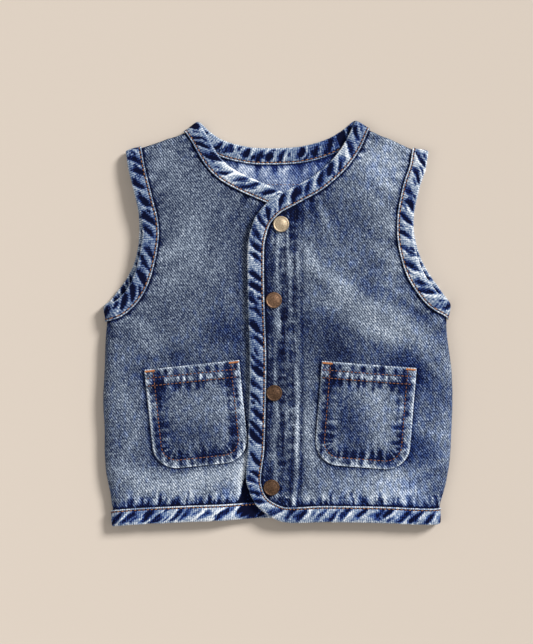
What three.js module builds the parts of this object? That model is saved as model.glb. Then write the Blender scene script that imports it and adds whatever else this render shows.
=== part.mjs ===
import * as THREE from 'three';

// Child's denim vest lying flat on its back, front up, on the plane z = 0. Sizes are in
// millimetres: x runs to the right and y to the neck as seen from above.

const CLOTH = 1.2; // denim of the panels and pockets
const TAPE = 1.0; // each wall of the folded binding
const TAPE_CLEAR = 0.55; // binding wall clear of the panel inside it
const TAPE_WIDTH = 14.2; // binding seen on the face
const TAPE_NARROW = { share: 0.22, reach: 30 }; // it is drawn narrower round a front's lower corner
const TAPE_HOLD = 3; // panel edge back from the fold of its binding
const TAPE_FOLD = 1.7; // bottom of the channel back from the fold
const TAPE_LIP = 1.2; // where the fold has turned to the full height
const RIPPLE = 0.4; // puckers of the binding, above and below its mean height
const PITCH = 6.2; // half a pucker along the binding
const HIDDEN_STEP = 9.5; // length of the binding's facets where it can't be seen from the front
const SEAM = 0.42; // each piece short of the seam line, along the cloth
const LIFT = TAPE + TAPE_CLEAR + 0.03; // back panel above the table where its bindings go under it
const LAP_PANEL = 3.35; // over-lap above under-lap, face to face, panel on panel
const LAP_TAPE = 4.95; // the same where binding crosses binding
const LAP_NECK = { from: 52, to: 78, top: 105 }; // up here binding comes to cross binding
const LAP_HEM = { from: -118, to: -142 }; // and down here
const LAP_RUN = { near: 1, body: 30, neck: 52 }; // the under-lap sinks over this way to the over-lap
const MIDDLE = { x: 0.34, y: 0.784 }; // middle of the outline, moved to the origin

const DENIM = { color: 0x66727f, roughness: 0.92, metalness: 0 };
const DENIM_TAPE = { color: 0x5f7291, roughness: 0.92, metalness: 0 };
const DENIM_POCKET = { color: 0x5e6a80, roughness: 0.92, metalness: 0 };
const BRASS = { color: 0x8a6a4f, roughness: 0.38, metalness: 0.9 };

const named = (names, rows) => rows.map((row) => Object.fromEntries(
  names.split(' ').map((name, i) => [name, row[i]])));

// Sides of the outline, hem to neck; above the armholes they run on to shape the roll
const SIDE_LEFT = named('y x', [
  [-176.3, -143.1], [-160.6, -143.9], [-146.6, -146.1], [-136.1, -148.3], [-127.3, -149.8],
  [-109.8, -150.9], [-92.3, -150.9], [-66.1, -152.2], [-39.8, -150.9], [-13.6, -150.1],
  [3.9, -148.9], [17.1, -150.5], [38.9, -150.1], [91.4, -148.3], [196.4, -144.8]]);
const SIDE_RIGHT = named('y x', [
  [-176.3, 140.9], [-160.6, 140.9], [-148.3, 144.4], [-136.1, 147.4], [-122.9, 149.6],
  [-109.8, 150.9], [-92.3, 151.8], [-66.1, 152.7], [-39.8, 151.8], [-22.3, 149.6],
  [-9.2, 147.9], [4, 147.6], [18.4, 149.8], [38.9, 150.9], [91.4, 149.2],
  [196.4, 145.7]]);
// Both shoulder lines, left to right, joined across the neck
const SHOULDERS = named('x y', [
  [-151.8, 143.9], [-132.6, 150.1], [-109.8, 157.1], [-97.6, 161.4], [-84.4, 165.8],
  [-76.6, 170.2], [-69.6, 176.3], [-62.6, 183.3], [-53.8, 189.4], [-32.8, 192.9],
  [31.1, 192.9], [52.1, 189.4], [60.8, 183.3], [67.8, 177.2], [77.4, 171.1], [87.9, 165.8],
  [99.3, 161.4], [108.1, 157.1], [118.6, 152.7], [131.7, 150.1], [150.1, 145.7]]);

// Bound edges as folded, in plan, from one seam to the next
const EDGE_LEFT = named('x y', [
  [-70, 176], [-62, 165.6], [-56.6, 155.6], [-50.6, 146.2], [-41.8, 137.5], [-27.1, 129.4],
  [-13.7, 123.6], [4.4, 114.7], [13.1, 105.4], [17.5, 92.3], [18.4, 73.9], [18.4, 21.4],
  [18.4, -48.6], [18.4, -105.4], [17.1, -131.7], [11.4, -150.9], [-0.4, -163.2],
  [-16.2, -167.9], [-43.7, -170.6], [-75, -171.9], [-110.7, -173.5], [-128.5, -174.6],
  [-143.1, -176.3]]);
const EDGE_RIGHT = named('x y', [
  [68.1, 176.9], [63, 166.7], [57.3, 156.2], [50.3, 146.6], [41, 137.3], [29.2, 127.9],
  [17.5, 121.5], [5.7, 115.1], [-4.8, 109.4], [-12.7, 102.3], [-19.2, 93.8], [-23, 83.6],
  [-25.5, 72.2], [-26.2, 56.4], [-25.8, 19.7], [-24.2, -31.1], [-25, -82.7],
  [-25.8, -109.8], [-27.3, -128.2], [-26.1, -140.9], [-19.2, -156.2], [-8.3, -165.8],
  [6.6, -172.2], [42.4, -172.1], [87.9, -172.8], [131.7, -174.6], [140.9, -173.9]]);
const ARM_LEFT_FRONT = named('x y', [
  [-132.6, 149.9], [-129.9, 135.2], [-125.6, 117.7], [-121.6, 101.9], [-118.6, 90.6],
  [-117.5, 79.2], [-118.8, 67.8], [-120.8, 57.3], [-124.7, 43.3], [-130.2, 31.9],
  [-138.2, 22.8], [-145.7, 18.1], [-150.5, 16.6]]);
const ARM_LEFT_BACK = named('x y', [
  [-132.6, 149.9], [-129.5, 135.2], [-125.1, 117.7], [-122.1, 101.9], [-120.7, 87.1],
  [-121.6, 70.4], [-123.8, 58.2], [-128.2, 46.8], [-134.3, 36.3], [-140.9, 27.6],
  [-146.1, 21], [-150.5, 16.6]]);
const ARM_RIGHT_FRONT = named('x y', [
  [131.7, 149.9], [129.1, 135.2], [124.2, 121.2], [120.8, 107.2], [118.6, 94.9],
  [118.1, 82.7], [119, 72.2], [121, 62.6], [123.8, 52.9], [128.2, 43.3], [134.3, 34.1],
  [141.8, 25.4], [149.9, 18.4]]);
const ARM_RIGHT_BACK = named('x y', [
  [131.7, 149.9], [128.9, 135.2], [124.1, 121.2], [120.8, 107.2], [119.1, 94.9],
  [119, 82.7], [120.5, 73.1], [122.9, 64.3], [126.4, 55.1], [131.7, 45.5], [138.7, 35.4],
  [145.2, 26.2], [149.9, 18.4]]);
const NECK_BACK = named('x y', [
  [-69.3, 176.3], [-63.4, 171.9], [-55.6, 165.4], [-45.9, 160.3], [-32.8, 156.5],
  [-18.8, 154.3], [-0.4, 154.1], [17.1, 155.1], [31.9, 158.1], [43.3, 162], [52.1, 166.5],
  [59.9, 171.5], [67.4, 177.2]]);
const HEM_BACK = named('x y', [
  [-143.1, -176.3], [-111.6, -172.4], [-67.8, -170.2], [-0.4, -168.9], [63.4, -169.8],
  [107.2, -171.5], [140.9, -173.9]]);
const CORNER_LEFT = { x: 11.4, y: -150.9 }; // hidden lower corner of the under-lap
const UNDER_TOP = { x: -10, y: 122 }; // the under-lap's binding goes out of sight here
const UNDER_FOOT = { x: 4, y: -160 }; // and comes out again here
const CORNER_RIGHT = { x: -19.2, y: -156.2 }; // rounded lower corner of the over-lap

// Height of the front over the table: along the middle, at the sides, and at the side seam
const RISE = named('y crown flank seam', [
  [-177, 12.4, 11.8, 5.5], [-150, 13.5, 12, 5.7], [-110, 15.3, 12.8, 5.9],
  [-50, 16.4, 13.5, 6], [10, 16.2, 13, 6], [40, 15.4, 12.4, 5.8], [80, 14, 11.9, 5.4],
  [115, 12.7, 11.3, 5], [140, 10.6, 9.8, 4.6], [158, 9, 8.7, 4.6], [178, 8.4, 8.4, 4.6]]);
const HALF_WIDTH = 150; // where the crown has fallen to the flank

// Cloth turning down to the side and shoulder seams: reach in plan and along the cloth
const ROLLS = {
  front: { side: { plan: 10, cloth: 15 }, shoulder: { plan: 3.5, cloth: 5.6 } },
  back: { side: { plan: 4, cloth: 6.2 }, shoulder: { plan: 3, cloth: 4.9 } },
};
// Part of the back that rests on the table itself; round it the cloth rises by LIFT
const REST = { x: 88, top: 95, bottom: -138, run: 18 };

// Largest soft folds of the front: middle, direction in degrees, half length and width, height
const FOLDS = named('x y turn long wide high', [
  [-37, -130, 78, 30, 12, 2.1], [-122, -134, -18, 24, 8, 1.3], [-66, -134, 11, 40, 9, 1.3],
  [-100, -119, 2, 34, 8, -0.8], [-77, 80, 84, 44, 14, 1], [-40, 50, 88, 60, 12, -0.9],
  [-112, 6, 20, 34, 13, -0.8], [34, 47, -37, 34, 10, 1.6], [88, 14, -29, 32, 10, 1.8],
  [130, -18, -44, 28, 8, 1.7], [56, 4, -36, 36, 11, -1.2], [114, -29, -38, 34, 9, -1],
  [130, -71, -37, 26, 8, 1], [128, -106, 8, 26, 10, -0.8], [72, 84, -42, 30, 9, -1],
  [98, 43, -22, 24, 8, -0.7], [92, 104, -58, 32, 11, 1], [72, -147, 3, 36, 9, 1]]);

const POCKETS = {
  left: { x: -70.2, y: -78.9, turn: 6, width: 82.5, height: 88 },
  right: { x: 76.1, y: -79.5, turn: -4.5, width: 82.5, height: 89.5 },
};
const POCKET = { corner: 21, hem: 15.2, hemExtra: 1.1, clear: 0.65, puff: 1.6 };
const SNAPS = named('x y', [[3.1, 87.3], [-3.2, 21.1], [-2.9, -59.5], [-5.2, -141.7]]);
const SNAP_CLEAR = 0.35;
// Half section of a snap cap, from the middle of its base round the rim to the crown
const SNAP_PROFILE = named('r z', [
  [0, 0], [6.4, 0], [7, 0.6], [6.9, 1.5], [6.2, 2], [5.6, 1.8], [4, 2.5], [0, 2.9]]);

const clamp = (value, low, high) => Math.min(high, Math.max(low, value));
const mix = (a, b, t) => a + (b - a) * t;
const smooth = (from, to, value) => {
  const t = clamp((value - from) / (to - from), 0, 1);
  return t * t * (3 - 2 * t);
};

// Value of one column at a place in another: a smooth curve through the rows
function along(rows, key, column) {
  const at = rows.map((row) => row[key]);
  const value = rows.map((row) => row[column]);
  const last = at.length - 1;
  const slope = value.map((_, i) => {
    const low = Math.max(i - 1, 0);
    const high = Math.min(i + 1, last);
    return (value[high] - value[low]) / (at[high] - at[low]);
  });
  return (place) => {
    const x = clamp(place, at[0], at[last]);
    let i = 0;
    while (i < last - 1 && at[i + 1] < x) i += 1;
    const span = at[i + 1] - at[i];
    const t = (x - at[i]) / span;
    const t2 = t * t;
    const t3 = t2 * t;
    return (2 * t3 - 3 * t2 + 1) * value[i] + (t3 - 2 * t2 + t) * span * slope[i]
      + (3 * t2 - 2 * t3) * value[i + 1] + (t3 - t2) * span * slope[i + 1];
  };
}

const sideLeft = along(SIDE_LEFT, 'y', 'x');
const sideRight = along(SIDE_RIGHT, 'y', 'x');
const shoulderLine = along(SHOULDERS, 'x', 'y');
const crownAt = along(RISE, 'y', 'crown');
const flankAt = along(RISE, 'y', 'flank');
const seamHeight = along(RISE, 'y', 'seam');
const LAP_ROWS = 20; // rows of EDGE_RIGHT down to where its corner starts to turn
const lapEdge = along(EDGE_RIGHT.slice(0, LAP_ROWS).reverse(), 'y', 'x');

// Face of the front if nothing lapped: dome and folds
function faceHeight(x, y) {
  const dome = mix(flankAt(y), crownAt(y), 1 - smooth(0, 1, Math.abs(x) / HALF_WIDTH));
  return FOLDS.reduce((sum, fold) => {
    const turn = THREE.MathUtils.degToRad(fold.turn);
    const dx = x - fold.x;
    const dy = y - fold.y;
    const lengthwise = (dx * Math.cos(turn) + dy * Math.sin(turn)) / fold.long;
    const across = (dy * Math.cos(turn) - dx * Math.sin(turn)) / fold.wide;
    return sum + fold.high * Math.exp(-(lengthwise ** 2) - across ** 2);
  }, dome);
}

// How far the left front sinks to pass under the right one
function lapDrop(x, y) {
  const crossing = Math.max(smooth(LAP_NECK.from, LAP_NECK.to, y),
    smooth(LAP_HEM.from, LAP_HEM.to, y));
  const run = mix(LAP_RUN.body, LAP_RUN.neck, smooth(LAP_NECK.to, LAP_NECK.top, y));
  const under = smooth(-run, -LAP_RUN.near, x - lapEdge(y));
  return mix(LAP_PANEL, LAP_TAPE, crossing) * under;
}

function backLift(x, y) {
  const outside = Math.hypot(Math.max(Math.abs(x) - REST.x, 0),
    Math.max(y - REST.top, REST.bottom - y, 0));
  return LIFT * smooth(0, REST.run, outside);
}

const LAYERS = {
  left: { ...ROLLS.front, face: 1, height: (x, y) => faceHeight(x, y) - lapDrop(x, y) },
  right: { ...ROLLS.front, face: 1, height: faceHeight },
  back: { ...ROLLS.back, face: -1, height: backLift },
};

// Way along the cloth from a seam, turned into reach in plan and share of the rise
function rolled(way, roll) {
  if (way >= roll.cloth) return { plan: roll.plan + way - roll.cloth, rise: 1 };
  const turn = (way / roll.cloth) * (Math.PI / 2);
  return { plan: roll.plan * (1 - Math.cos(turn)), rise: Math.sin(turn) };
}

function unrolled(plan, roll) {
  if (plan >= roll.plan) return plan - roll.plan + roll.cloth;
  return (Math.acos(1 - Math.max(plan, 0) / roll.plan) / (Math.PI / 2)) * roll.cloth;
}

// Seam lines on the flattened cloth
const sideSeam = (layer, q, side) => (side < 0 ? sideLeft(q) : sideRight(q))
  + side * (layer.side.cloth - layer.side.plan);
const shoulderSeam = (layer, p) => shoulderLine(p) + layer.shoulder.cloth - layer.shoulder.plan;

// Point of the cloth's face at p, q on the flattened cloth
function facePoint(layer, p, q) {
  const top = rolled(shoulderSeam(layer, p) - q, layer.shoulder);
  const y = shoulderLine(p) - top.plan;
  const side = p < 0 ? -1 : 1;
  const edge = rolled(side * (sideSeam(layer, y, side) - p), layer.side);
  const x = (side < 0 ? sideLeft(y) : sideRight(y)) - side * edge.plan;
  const rise = top.rise * edge.rise;
  const seam = seamHeight(y);
  const height = layer.height(x, y);
  return new THREE.Vector3(x, y, mix(seam, height, rise));
}

const SLOPE_STEP = 0.05;

// Point moved out from the face by a distance, out of the garment being positive
function clothPoint(layer, p, q, out) {
  const across = facePoint(layer, p + SLOPE_STEP, q).sub(facePoint(layer, p - SLOPE_STEP, q));
  const upward = facePoint(layer, p, q + SLOPE_STEP).sub(facePoint(layer, p, q - SLOPE_STEP));
  const normal = across.cross(upward).normalize().multiplyScalar(layer.face);
  return facePoint(layer, p, q).addScaledVector(normal, out);
}

// A place in plan taken to the flattened cloth, never past the seams
function flattened(layer, { x, y }) {
  const side = x < 0 ? -1 : 1;
  const reach = side * ((side < 0 ? sideLeft(y) : sideRight(y)) - x);
  const p = sideSeam(layer, y, side) - side * Math.max(unrolled(reach, layer.side), SEAM);
  const drop = shoulderLine(p) - y;
  const q = shoulderSeam(layer, p) - Math.max(unrolled(drop, layer.shoulder), SEAM);
  return { p, q };
}

// Place on a seam a given way along it from a start, towards the inside of the panel
function seamPlace(layer, seam, start, inward, way) {
  if (seam === 'shoulder') {
    const slope = shoulderLine(start.p + inward.p) - shoulderLine(start.p);
    const p = start.p + Math.sign(inward.p) * way / Math.hypot(1, slope);
    return { p, q: shoulderSeam(layer, p) - SEAM };
  }
  const q = start.q + Math.sign(inward.q) * way;
  const side = Math.sign(start.p);
  return { p: sideSeam(layer, q, side) - side * SEAM, q };
}

const SWING = 24; // insets swing round to a seam over this way
const TANGENT_STEP = 0.6;

// A bound edge on the flattened cloth. at(s, inset) gives the place s along it and inset
// towards the inside of the panel; near its ends the insets swing round to follow the seams.
function boundEdge(layer, landmarks, { inside, seams, corner }) {
  const places = landmarks.map((mark) => flattened(layer, mark));
  let run = 0;
  const rows = places.map((place, i) => {
    if (i) run += Math.hypot(place.p - places[i - 1].p, place.q - places[i - 1].q);
    return { run, ...place };
  });
  const pAt = along(rows, 'run', 'p');
  const qAt = along(rows, 'run', 'q');
  const count = Math.ceil(run);
  const fine = [{ s: 0, run: 0 }];
  for (let i = 1; i <= count; i += 1) {
    const here = (run * i) / count;
    const before = fine[i - 1];
    const s = before.s + Math.hypot(pAt(here) - pAt(before.run), qAt(here) - qAt(before.run));
    fine.push({ s, run: here });
  }
  const length = fine[count].s;
  const runAt = along(fine, 's', 'run');
  const place = (s) => ({ p: pAt(runAt(s)), q: qAt(runAt(s)) });
  const inward = (s) => {
    const a = place(Math.max(s - TANGENT_STEP, 0));
    const b = place(Math.min(s + TANGENT_STEP, length));
    const size = Math.hypot(b.p - a.p, b.q - a.q) * inside;
    return { p: (b.q - a.q) / size, q: -(b.p - a.p) / size };
  };
  const ends = [0, length].map((s, i) => ({ s, seam: seams[i], from: place(s), in: inward(s) }));
  const at = (s, inset) => {
    const from = place(s);
    const into = inward(s);
    const result = { p: from.p + into.p * inset, q: from.q + into.q * inset };
    ends.forEach((end) => {
      const share = 1 - smooth(0, SWING, Math.abs(s - end.s));
      if (share === 0) return;
      const goal = seamPlace(layer, end.seam, end.from, end.in, inset);
      result.p += share * (goal.p - end.from.p - end.in.p * inset);
      result.q += share * (goal.q - end.from.q - end.in.q * inset);
    });
    return result;
  };
  return { layer, length, at, corner };
}

const RIGHT_HAND = 1;
const LEFT_HAND = -1;
const OVER = ['shoulder', 'side'];
const EDGES = {
  left: boundEdge(LAYERS.left, EDGE_LEFT,
    { inside: RIGHT_HAND, seams: OVER, corner: CORNER_LEFT }),
  right: boundEdge(LAYERS.right, EDGE_RIGHT,
    { inside: LEFT_HAND, seams: OVER, corner: CORNER_RIGHT }),
  armLeftFront: boundEdge(LAYERS.left, ARM_LEFT_FRONT, { inside: LEFT_HAND, seams: OVER }),
  armLeftBack: boundEdge(LAYERS.back, ARM_LEFT_BACK, { inside: LEFT_HAND, seams: OVER }),
  armRightFront: boundEdge(LAYERS.right, ARM_RIGHT_FRONT, { inside: RIGHT_HAND, seams: OVER }),
  armRightBack: boundEdge(LAYERS.back, ARM_RIGHT_BACK, { inside: RIGHT_HAND, seams: OVER }),
  neckBack: boundEdge(LAYERS.back, NECK_BACK,
    { inside: RIGHT_HAND, seams: ['shoulder', 'shoulder'] }),
  hemBack: boundEdge(LAYERS.back, HEM_BACK, { inside: LEFT_HAND, seams: ['side', 'side'] }),
};

function nearestRun(edge, mark) {
  const goal = flattened(edge.layer, mark);
  let best = { s: 0, far: Infinity };
  for (let s = 0; s <= edge.length; s += 1) {
    const place = edge.at(s, 0);
    const far = Math.hypot(place.p - goal.p, place.q - goal.q);
    if (far < best.far) best = { s, far };
  }
  return best.s;
}

// Closed mesh from points and triangles, turned face out
function solid(points, triangles) {
  let volume = 0;
  triangles.forEach(([a, b, c]) => {
    volume += points[a].dot(new THREE.Vector3().crossVectors(points[b], points[c]));
  });
  const index = triangles.flatMap(([a, b, c]) => (volume < 0 ? [a, c, b] : [a, b, c]));
  const geometry = new THREE.BufferGeometry().setFromPoints(points);
  geometry.setIndex(index);
  geometry.computeVertexNormals();
  return geometry;
}

// Closed wall between two grids of points of the same shape, grid[row][column]
function wall(outer, inner) {
  const rows = outer.length;
  const columns = outer[0].length;
  const points = [...outer.flat(), ...inner.flat()];
  const id = (layer, row, column) => (layer * rows + row) * columns + column;
  const triangles = [];
  for (let r = 0; r < rows - 1; r += 1) {
    for (let c = 0; c < columns - 1; c += 1) {
      const quad = (k) => [id(k, r, c), id(k, r, c + 1), id(k, r + 1, c + 1), id(k, r + 1, c)];
      const [a, b, d, e] = quad(0);
      triangles.push([a, b, d], [a, d, e]);
      const [f, g, h, i] = quad(1);
      triangles.push([f, h, g], [f, i, h]);
    }
  }
  const rim = [];
  for (let c = 0; c < columns - 1; c += 1) rim.push([0, c]);
  for (let r = 0; r < rows - 1; r += 1) rim.push([r, columns - 1]);
  for (let c = columns - 1; c > 0; c -= 1) rim.push([rows - 1, c]);
  for (let r = rows - 1; r > 0; r -= 1) rim.push([r, 0]);
  rim.forEach(([r, c], i) => {
    const [r2, c2] = rim[(i + 1) % rim.length];
    triangles.push([id(0, r, c), id(1, r, c), id(1, r2, c2)],
      [id(0, r, c), id(1, r2, c2), id(0, r2, c2)]);
  });
  return solid(points, triangles);
}

// Folded binding: sections of a channel, wall over the face, round the fold, wall underneath
const CHANNEL = (() => {
  const over = TAPE_CLEAR;
  const under = -CLOTH - TAPE_CLEAR;
  return named('inset out ripple', [
    [TAPE_WIDTH, over, 0], [TAPE_WIDTH, over + TAPE, 0],
    [TAPE_WIDTH / 2, over + TAPE, 1], [TAPE_LIP, over + TAPE - 0.1, 0.4],
    [0, (over + under) / 2, 0], [TAPE_LIP, under - TAPE + 0.1, 0],
    [TAPE_WIDTH, under - TAPE, 0], [TAPE_WIDTH, under, 0],
    [TAPE_FOLD, under, 0], [TAPE_FOLD, over, 0]]);
})();
const CHANNEL_CAP = [
  [1, 2, 0], [2, 9, 0], [2, 3, 9], [3, 4, 9], [4, 8, 9], [4, 5, 8], [5, 6, 8], [6, 7, 8]];
const END_STATIONS = [0, 1.4, 2.8, 4.3, 6, 8, 10.5, 13.5, 17.5]; // close where the cloth rolls

// Places along an edge: close at the ends, by PITCH where it shows, wider where it is hidden
function stationsOf({ length }, hidden) {
  const last = END_STATIONS[END_STATIONS.length - 1];
  const stations = [...END_STATIONS];
  let s = last + PITCH;
  while (s < length - last - PITCH / 2) {
    stations.push(s);
    s += s > hidden.from && s < hidden.to ? HIDDEN_STEP : PITCH;
  }
  return [...stations, ...END_STATIONS.map((way) => length - way).reverse()];
}

const SHOWN = { from: 0, to: 0 };
const CALM = 30; // puckers grow to their full height over this way from an end

function binding(edge, hidden = SHOWN) {
  const { face } = edge.layer;
  const stations = stationsOf(edge, hidden);
  const turn = edge.corner ? nearestRun(edge, edge.corner) : Infinity;
  const points = [];
  stations.forEach((s, i) => {
    const off = s > hidden.from && s < hidden.to ? 0 : Math.min(s, edge.length - s,
      Math.max(Math.abs(s - hidden.from), Math.abs(s - hidden.to)));
    const wave = RIPPLE * smooth(0, CALM, off) * (i % 2 ? 1 : -1);
    const broad = 1 - TAPE_NARROW.share * Math.exp(-(((s - turn) / TAPE_NARROW.reach) ** 2));
    CHANNEL.forEach((corner) => {
      const { p, q } = edge.at(s, corner.inset > TAPE_HOLD ? corner.inset * broad : corner.inset);
      const out = face > 0 ? corner.out : -CLOTH - corner.out;
      points.push(clothPoint(edge.layer, p, q, out + face * wave * corner.ripple));
    });
  });
  const size = CHANNEL.length;
  const triangles = [];
  for (let i = 0; i < stations.length - 1; i += 1) {
    for (let k = 0; k < size; k += 1) {
      const a = i * size + k;
      const b = i * size + ((k + 1) % size);
      triangles.push([a, b, b + size], [a, b + size, a + size]);
    }
  }
  const end = (stations.length - 1) * size;
  CHANNEL_CAP.forEach(([a, b, c]) => {
    triangles.push([a, c, b], [end + a, end + b, end + c]);
  });
  return solid(points, triangles);
}

// Places of a panel between its four sides, each a function of 0 to 1
function patch({ bottom, top, start, end }, us, vs) {
  const blend = (key, u, v) => {
    const corners = (1 - u) * (1 - v) * bottom(0)[key] + u * (1 - v) * bottom(1)[key]
      + (1 - u) * v * top(0)[key] + u * v * top(1)[key];
    return (1 - v) * bottom(u)[key] + v * top(u)[key] + (1 - u) * start(v)[key]
      + u * end(v)[key] - corners;
  };
  return vs.map((v) => us.map((u) => ({ p: blend('p', u, v), q: blend('q', u, v) })));
}

function panel(layer, places) {
  const grid = (out) => places.map((row) => row.map(({ p, q }) => clothPoint(layer, p, q, out)));
  return wall(grid(0), grid(-CLOTH));
}

const ARM_SHARE = 0.53; // share of a panel's side that lies below the armhole

// Side of a panel: up the side seam, then round the armhole to the shoulder
function flank(layer, hemPlace, arm, side) {
  const foot = arm.at(arm.length, TAPE_HOLD);
  return (v) => {
    if (v > ARM_SHARE) {
      return arm.at(arm.length * (1 - (v - ARM_SHARE) / (1 - ARM_SHARE)), TAPE_HOLD);
    }
    const q = mix(hemPlace.q, foot.q, v / ARM_SHARE);
    return { p: sideSeam(layer, q, side) - side * SEAM, q };
  };
}

function shoulder(layer, from, to) {
  return (u) => {
    const p = mix(from.p, to.p, u);
    return { p, q: shoulderSeam(layer, p) - SEAM };
  };
}

// Columns of the fronts, side to front edge, and rows, hem to shoulder
const LEFT_COLUMNS = [0, 0.02, 0.042, 0.066, 0.092, 0.13, 0.2, 0.28, 0.36, 0.44, 0.51, 0.57,
  0.63, 0.69, 0.75, 0.81, 0.87, 0.92, 0.96, 1];
const RIGHT_COLUMNS = [0, 0.02, 0.042, 0.066, 0.092, 0.13, 0.17, 0.21, 0.255, 0.31, 0.385,
  0.46, 0.55, 0.64, 0.73, 0.82, 0.91, 1];
const FRONT_ROWS = [0, 0.02, 0.045, 0.07, 0.105, 0.15, 0.21, 0.28, 0.35, 0.42, 0.48, 0.51,
  ARM_SHARE, 0.538, 0.548, 0.56, 0.575, 0.6, 0.63, 0.66, 0.69, 0.72, 0.75, 0.785, 0.82,
  0.855, 0.89, 0.92, 0.95, 0.972, 0.983, 0.9885, 0.993, 0.9965, 1];

function frontPanel(layer, edge, arm, side, columns) {
  const turn = nearestRun(edge, edge.corner);
  const bottom = (u) => edge.at(mix(edge.length, turn, u), TAPE_HOLD);
  const front = (v) => edge.at(turn * (1 - v), TAPE_HOLD);
  const start = flank(layer, bottom(0), arm, side);
  const top = shoulder(layer, start(1), front(1));
  return panel(layer, patch({ bottom, top, start, end: front }, columns, FRONT_ROWS));
}

const NECK_SHARE = 0.24; // share of the back's top that each shoulder takes
const BACK_HALF = [0, 0.007, 0.014, 0.023, 0.06, 0.14, 0.2, NECK_SHARE, 0.246, 0.255,
  0.27, 0.31, 0.37, 0.43];
const BACK_COLUMNS = [...BACK_HALF, 0.5, ...BACK_HALF.map((u) => 1 - u).reverse()];
const BACK_ROWS = [0, 0.025, 0.055, 0.1, 0.2, 0.33, 0.45, 0.5, ARM_SHARE, 0.537, 0.546, 0.56,
  0.585, 0.62, 0.66, 0.7, 0.75, 0.82, 0.89, 0.945, 0.973, 0.984, 0.99, 0.995, 1];

function backPanel() {
  const layer = LAYERS.back;
  const { neckBack: neck, hemBack: hem, armLeftBack, armRightBack } = EDGES;
  const bottom = (u) => hem.at(u * hem.length, TAPE_HOLD);
  const start = flank(layer, bottom(0), armLeftBack, -1);
  const end = flank(layer, bottom(1), armRightBack, 1);
  const leftShoulder = shoulder(layer, start(1), neck.at(0, TAPE_HOLD));
  const rightShoulder = shoulder(layer, neck.at(neck.length, TAPE_HOLD), end(1));
  const top = (u) => {
    if (u < NECK_SHARE) return leftShoulder(u / NECK_SHARE);
    if (u > 1 - NECK_SHARE) return rightShoulder((u - 1 + NECK_SHARE) / NECK_SHARE);
    return neck.at(neck.length * ((u - NECK_SHARE) / (1 - 2 * NECK_SHARE)), TAPE_HOLD);
  };
  return panel(layer, patch({ bottom, top, start, end }, BACK_COLUMNS, BACK_ROWS));
}

// Patch pocket on a front's own points, moved out; its turned hem is thicker
function pocket(layer, { x, y, turn, width, height }) {
  const { corner, hem, hemExtra, clear, puff } = POCKET;
  const straight = [0, 1.6, 8, hem - 0.8, hem + 0.8, 26, 37, 48, 58, height - corner];
  const rows = straight.map((down) => ({ down, half: width / 2 }));
  [22.5, 45, 67.5, 90].forEach((degrees) => {
    const angle = THREE.MathUtils.degToRad(degrees);
    rows.push({
      down: height - corner + corner * Math.sin(angle),
      half: width / 2 - corner * (1 - Math.cos(angle)),
    });
  });
  const shares = [-1, -0.82, -0.55, -0.27, 0, 0.27, 0.55, 0.82, 1];
  const tilt = THREE.MathUtils.degToRad(turn);
  const grid = (outer) => rows.map(({ down, half }) => shares.map((share) => {
    const dx = share * half;
    const dy = height / 2 - down;
    const place = flattened(layer, {
      x: x + dx * Math.cos(tilt) - dy * Math.sin(tilt),
      y: y + dx * Math.sin(tilt) + dy * Math.cos(tilt),
    });
    const swell = puff * (1 - share ** 2) * Math.sin(Math.PI * mix(0.25, 1, down / height));
    const thick = CLOTH + (down < hem ? hemExtra : 0);
    return clothPoint(layer, place.p, place.q, clear + swell + (outer ? thick : 0));
  }));
  return wall(grid(true), grid(false));
}

const CAP_SIDES = 20;

function snapCap({ x, y }) {
  const layer = LAYERS.right;
  const base = clothPoint(layer, x, y, SNAP_CLEAR);
  const normal = clothPoint(layer, x, y, SNAP_CLEAR + 1).sub(base);
  const stand = new THREE.Quaternion().setFromUnitVectors(new THREE.Vector3(0, 0, 1), normal);
  const points = [];
  const rings = SNAP_PROFILE.filter((corner) => corner.r > 0);
  points.push(new THREE.Vector3(0, 0, SNAP_PROFILE[0].z));
  rings.forEach(({ r, z }) => {
    for (let k = 0; k < CAP_SIDES; k += 1) {
      const angle = (2 * Math.PI * k) / CAP_SIDES;
      points.push(new THREE.Vector3(r * Math.cos(angle), r * Math.sin(angle), z));
    }
  });
  const crown = points.length;
  points.push(new THREE.Vector3(0, 0, SNAP_PROFILE[SNAP_PROFILE.length - 1].z));
  points.forEach((point) => point.applyQuaternion(stand).add(base));
  const triangles = [];
  for (let k = 0; k < CAP_SIDES; k += 1) {
    const next = (k + 1) % CAP_SIDES;
    triangles.push([0, 1 + next, 1 + k]);
    for (let r = 0; r < rings.length - 1; r += 1) {
      const a = 1 + r * CAP_SIDES;
      const b = a + CAP_SIDES;
      triangles.push([a + k, a + next, b + next], [a + k, b + next, b + k]);
    }
    const last = 1 + (rings.length - 1) * CAP_SIDES;
    triangles.push([last + k, last + next, crown]);
  }
  return solid(points, triangles);
}

const group = new THREE.Group();
group.name = 'denim_vest';

function add(name, geometry, look) {
  geometry.translate(-MIDDLE.x, -MIDDLE.y, 0);
  const mesh = new THREE.Mesh(geometry, new THREE.MeshStandardMaterial(look));
  mesh.name = name;
  group.add(mesh);
}

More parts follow.
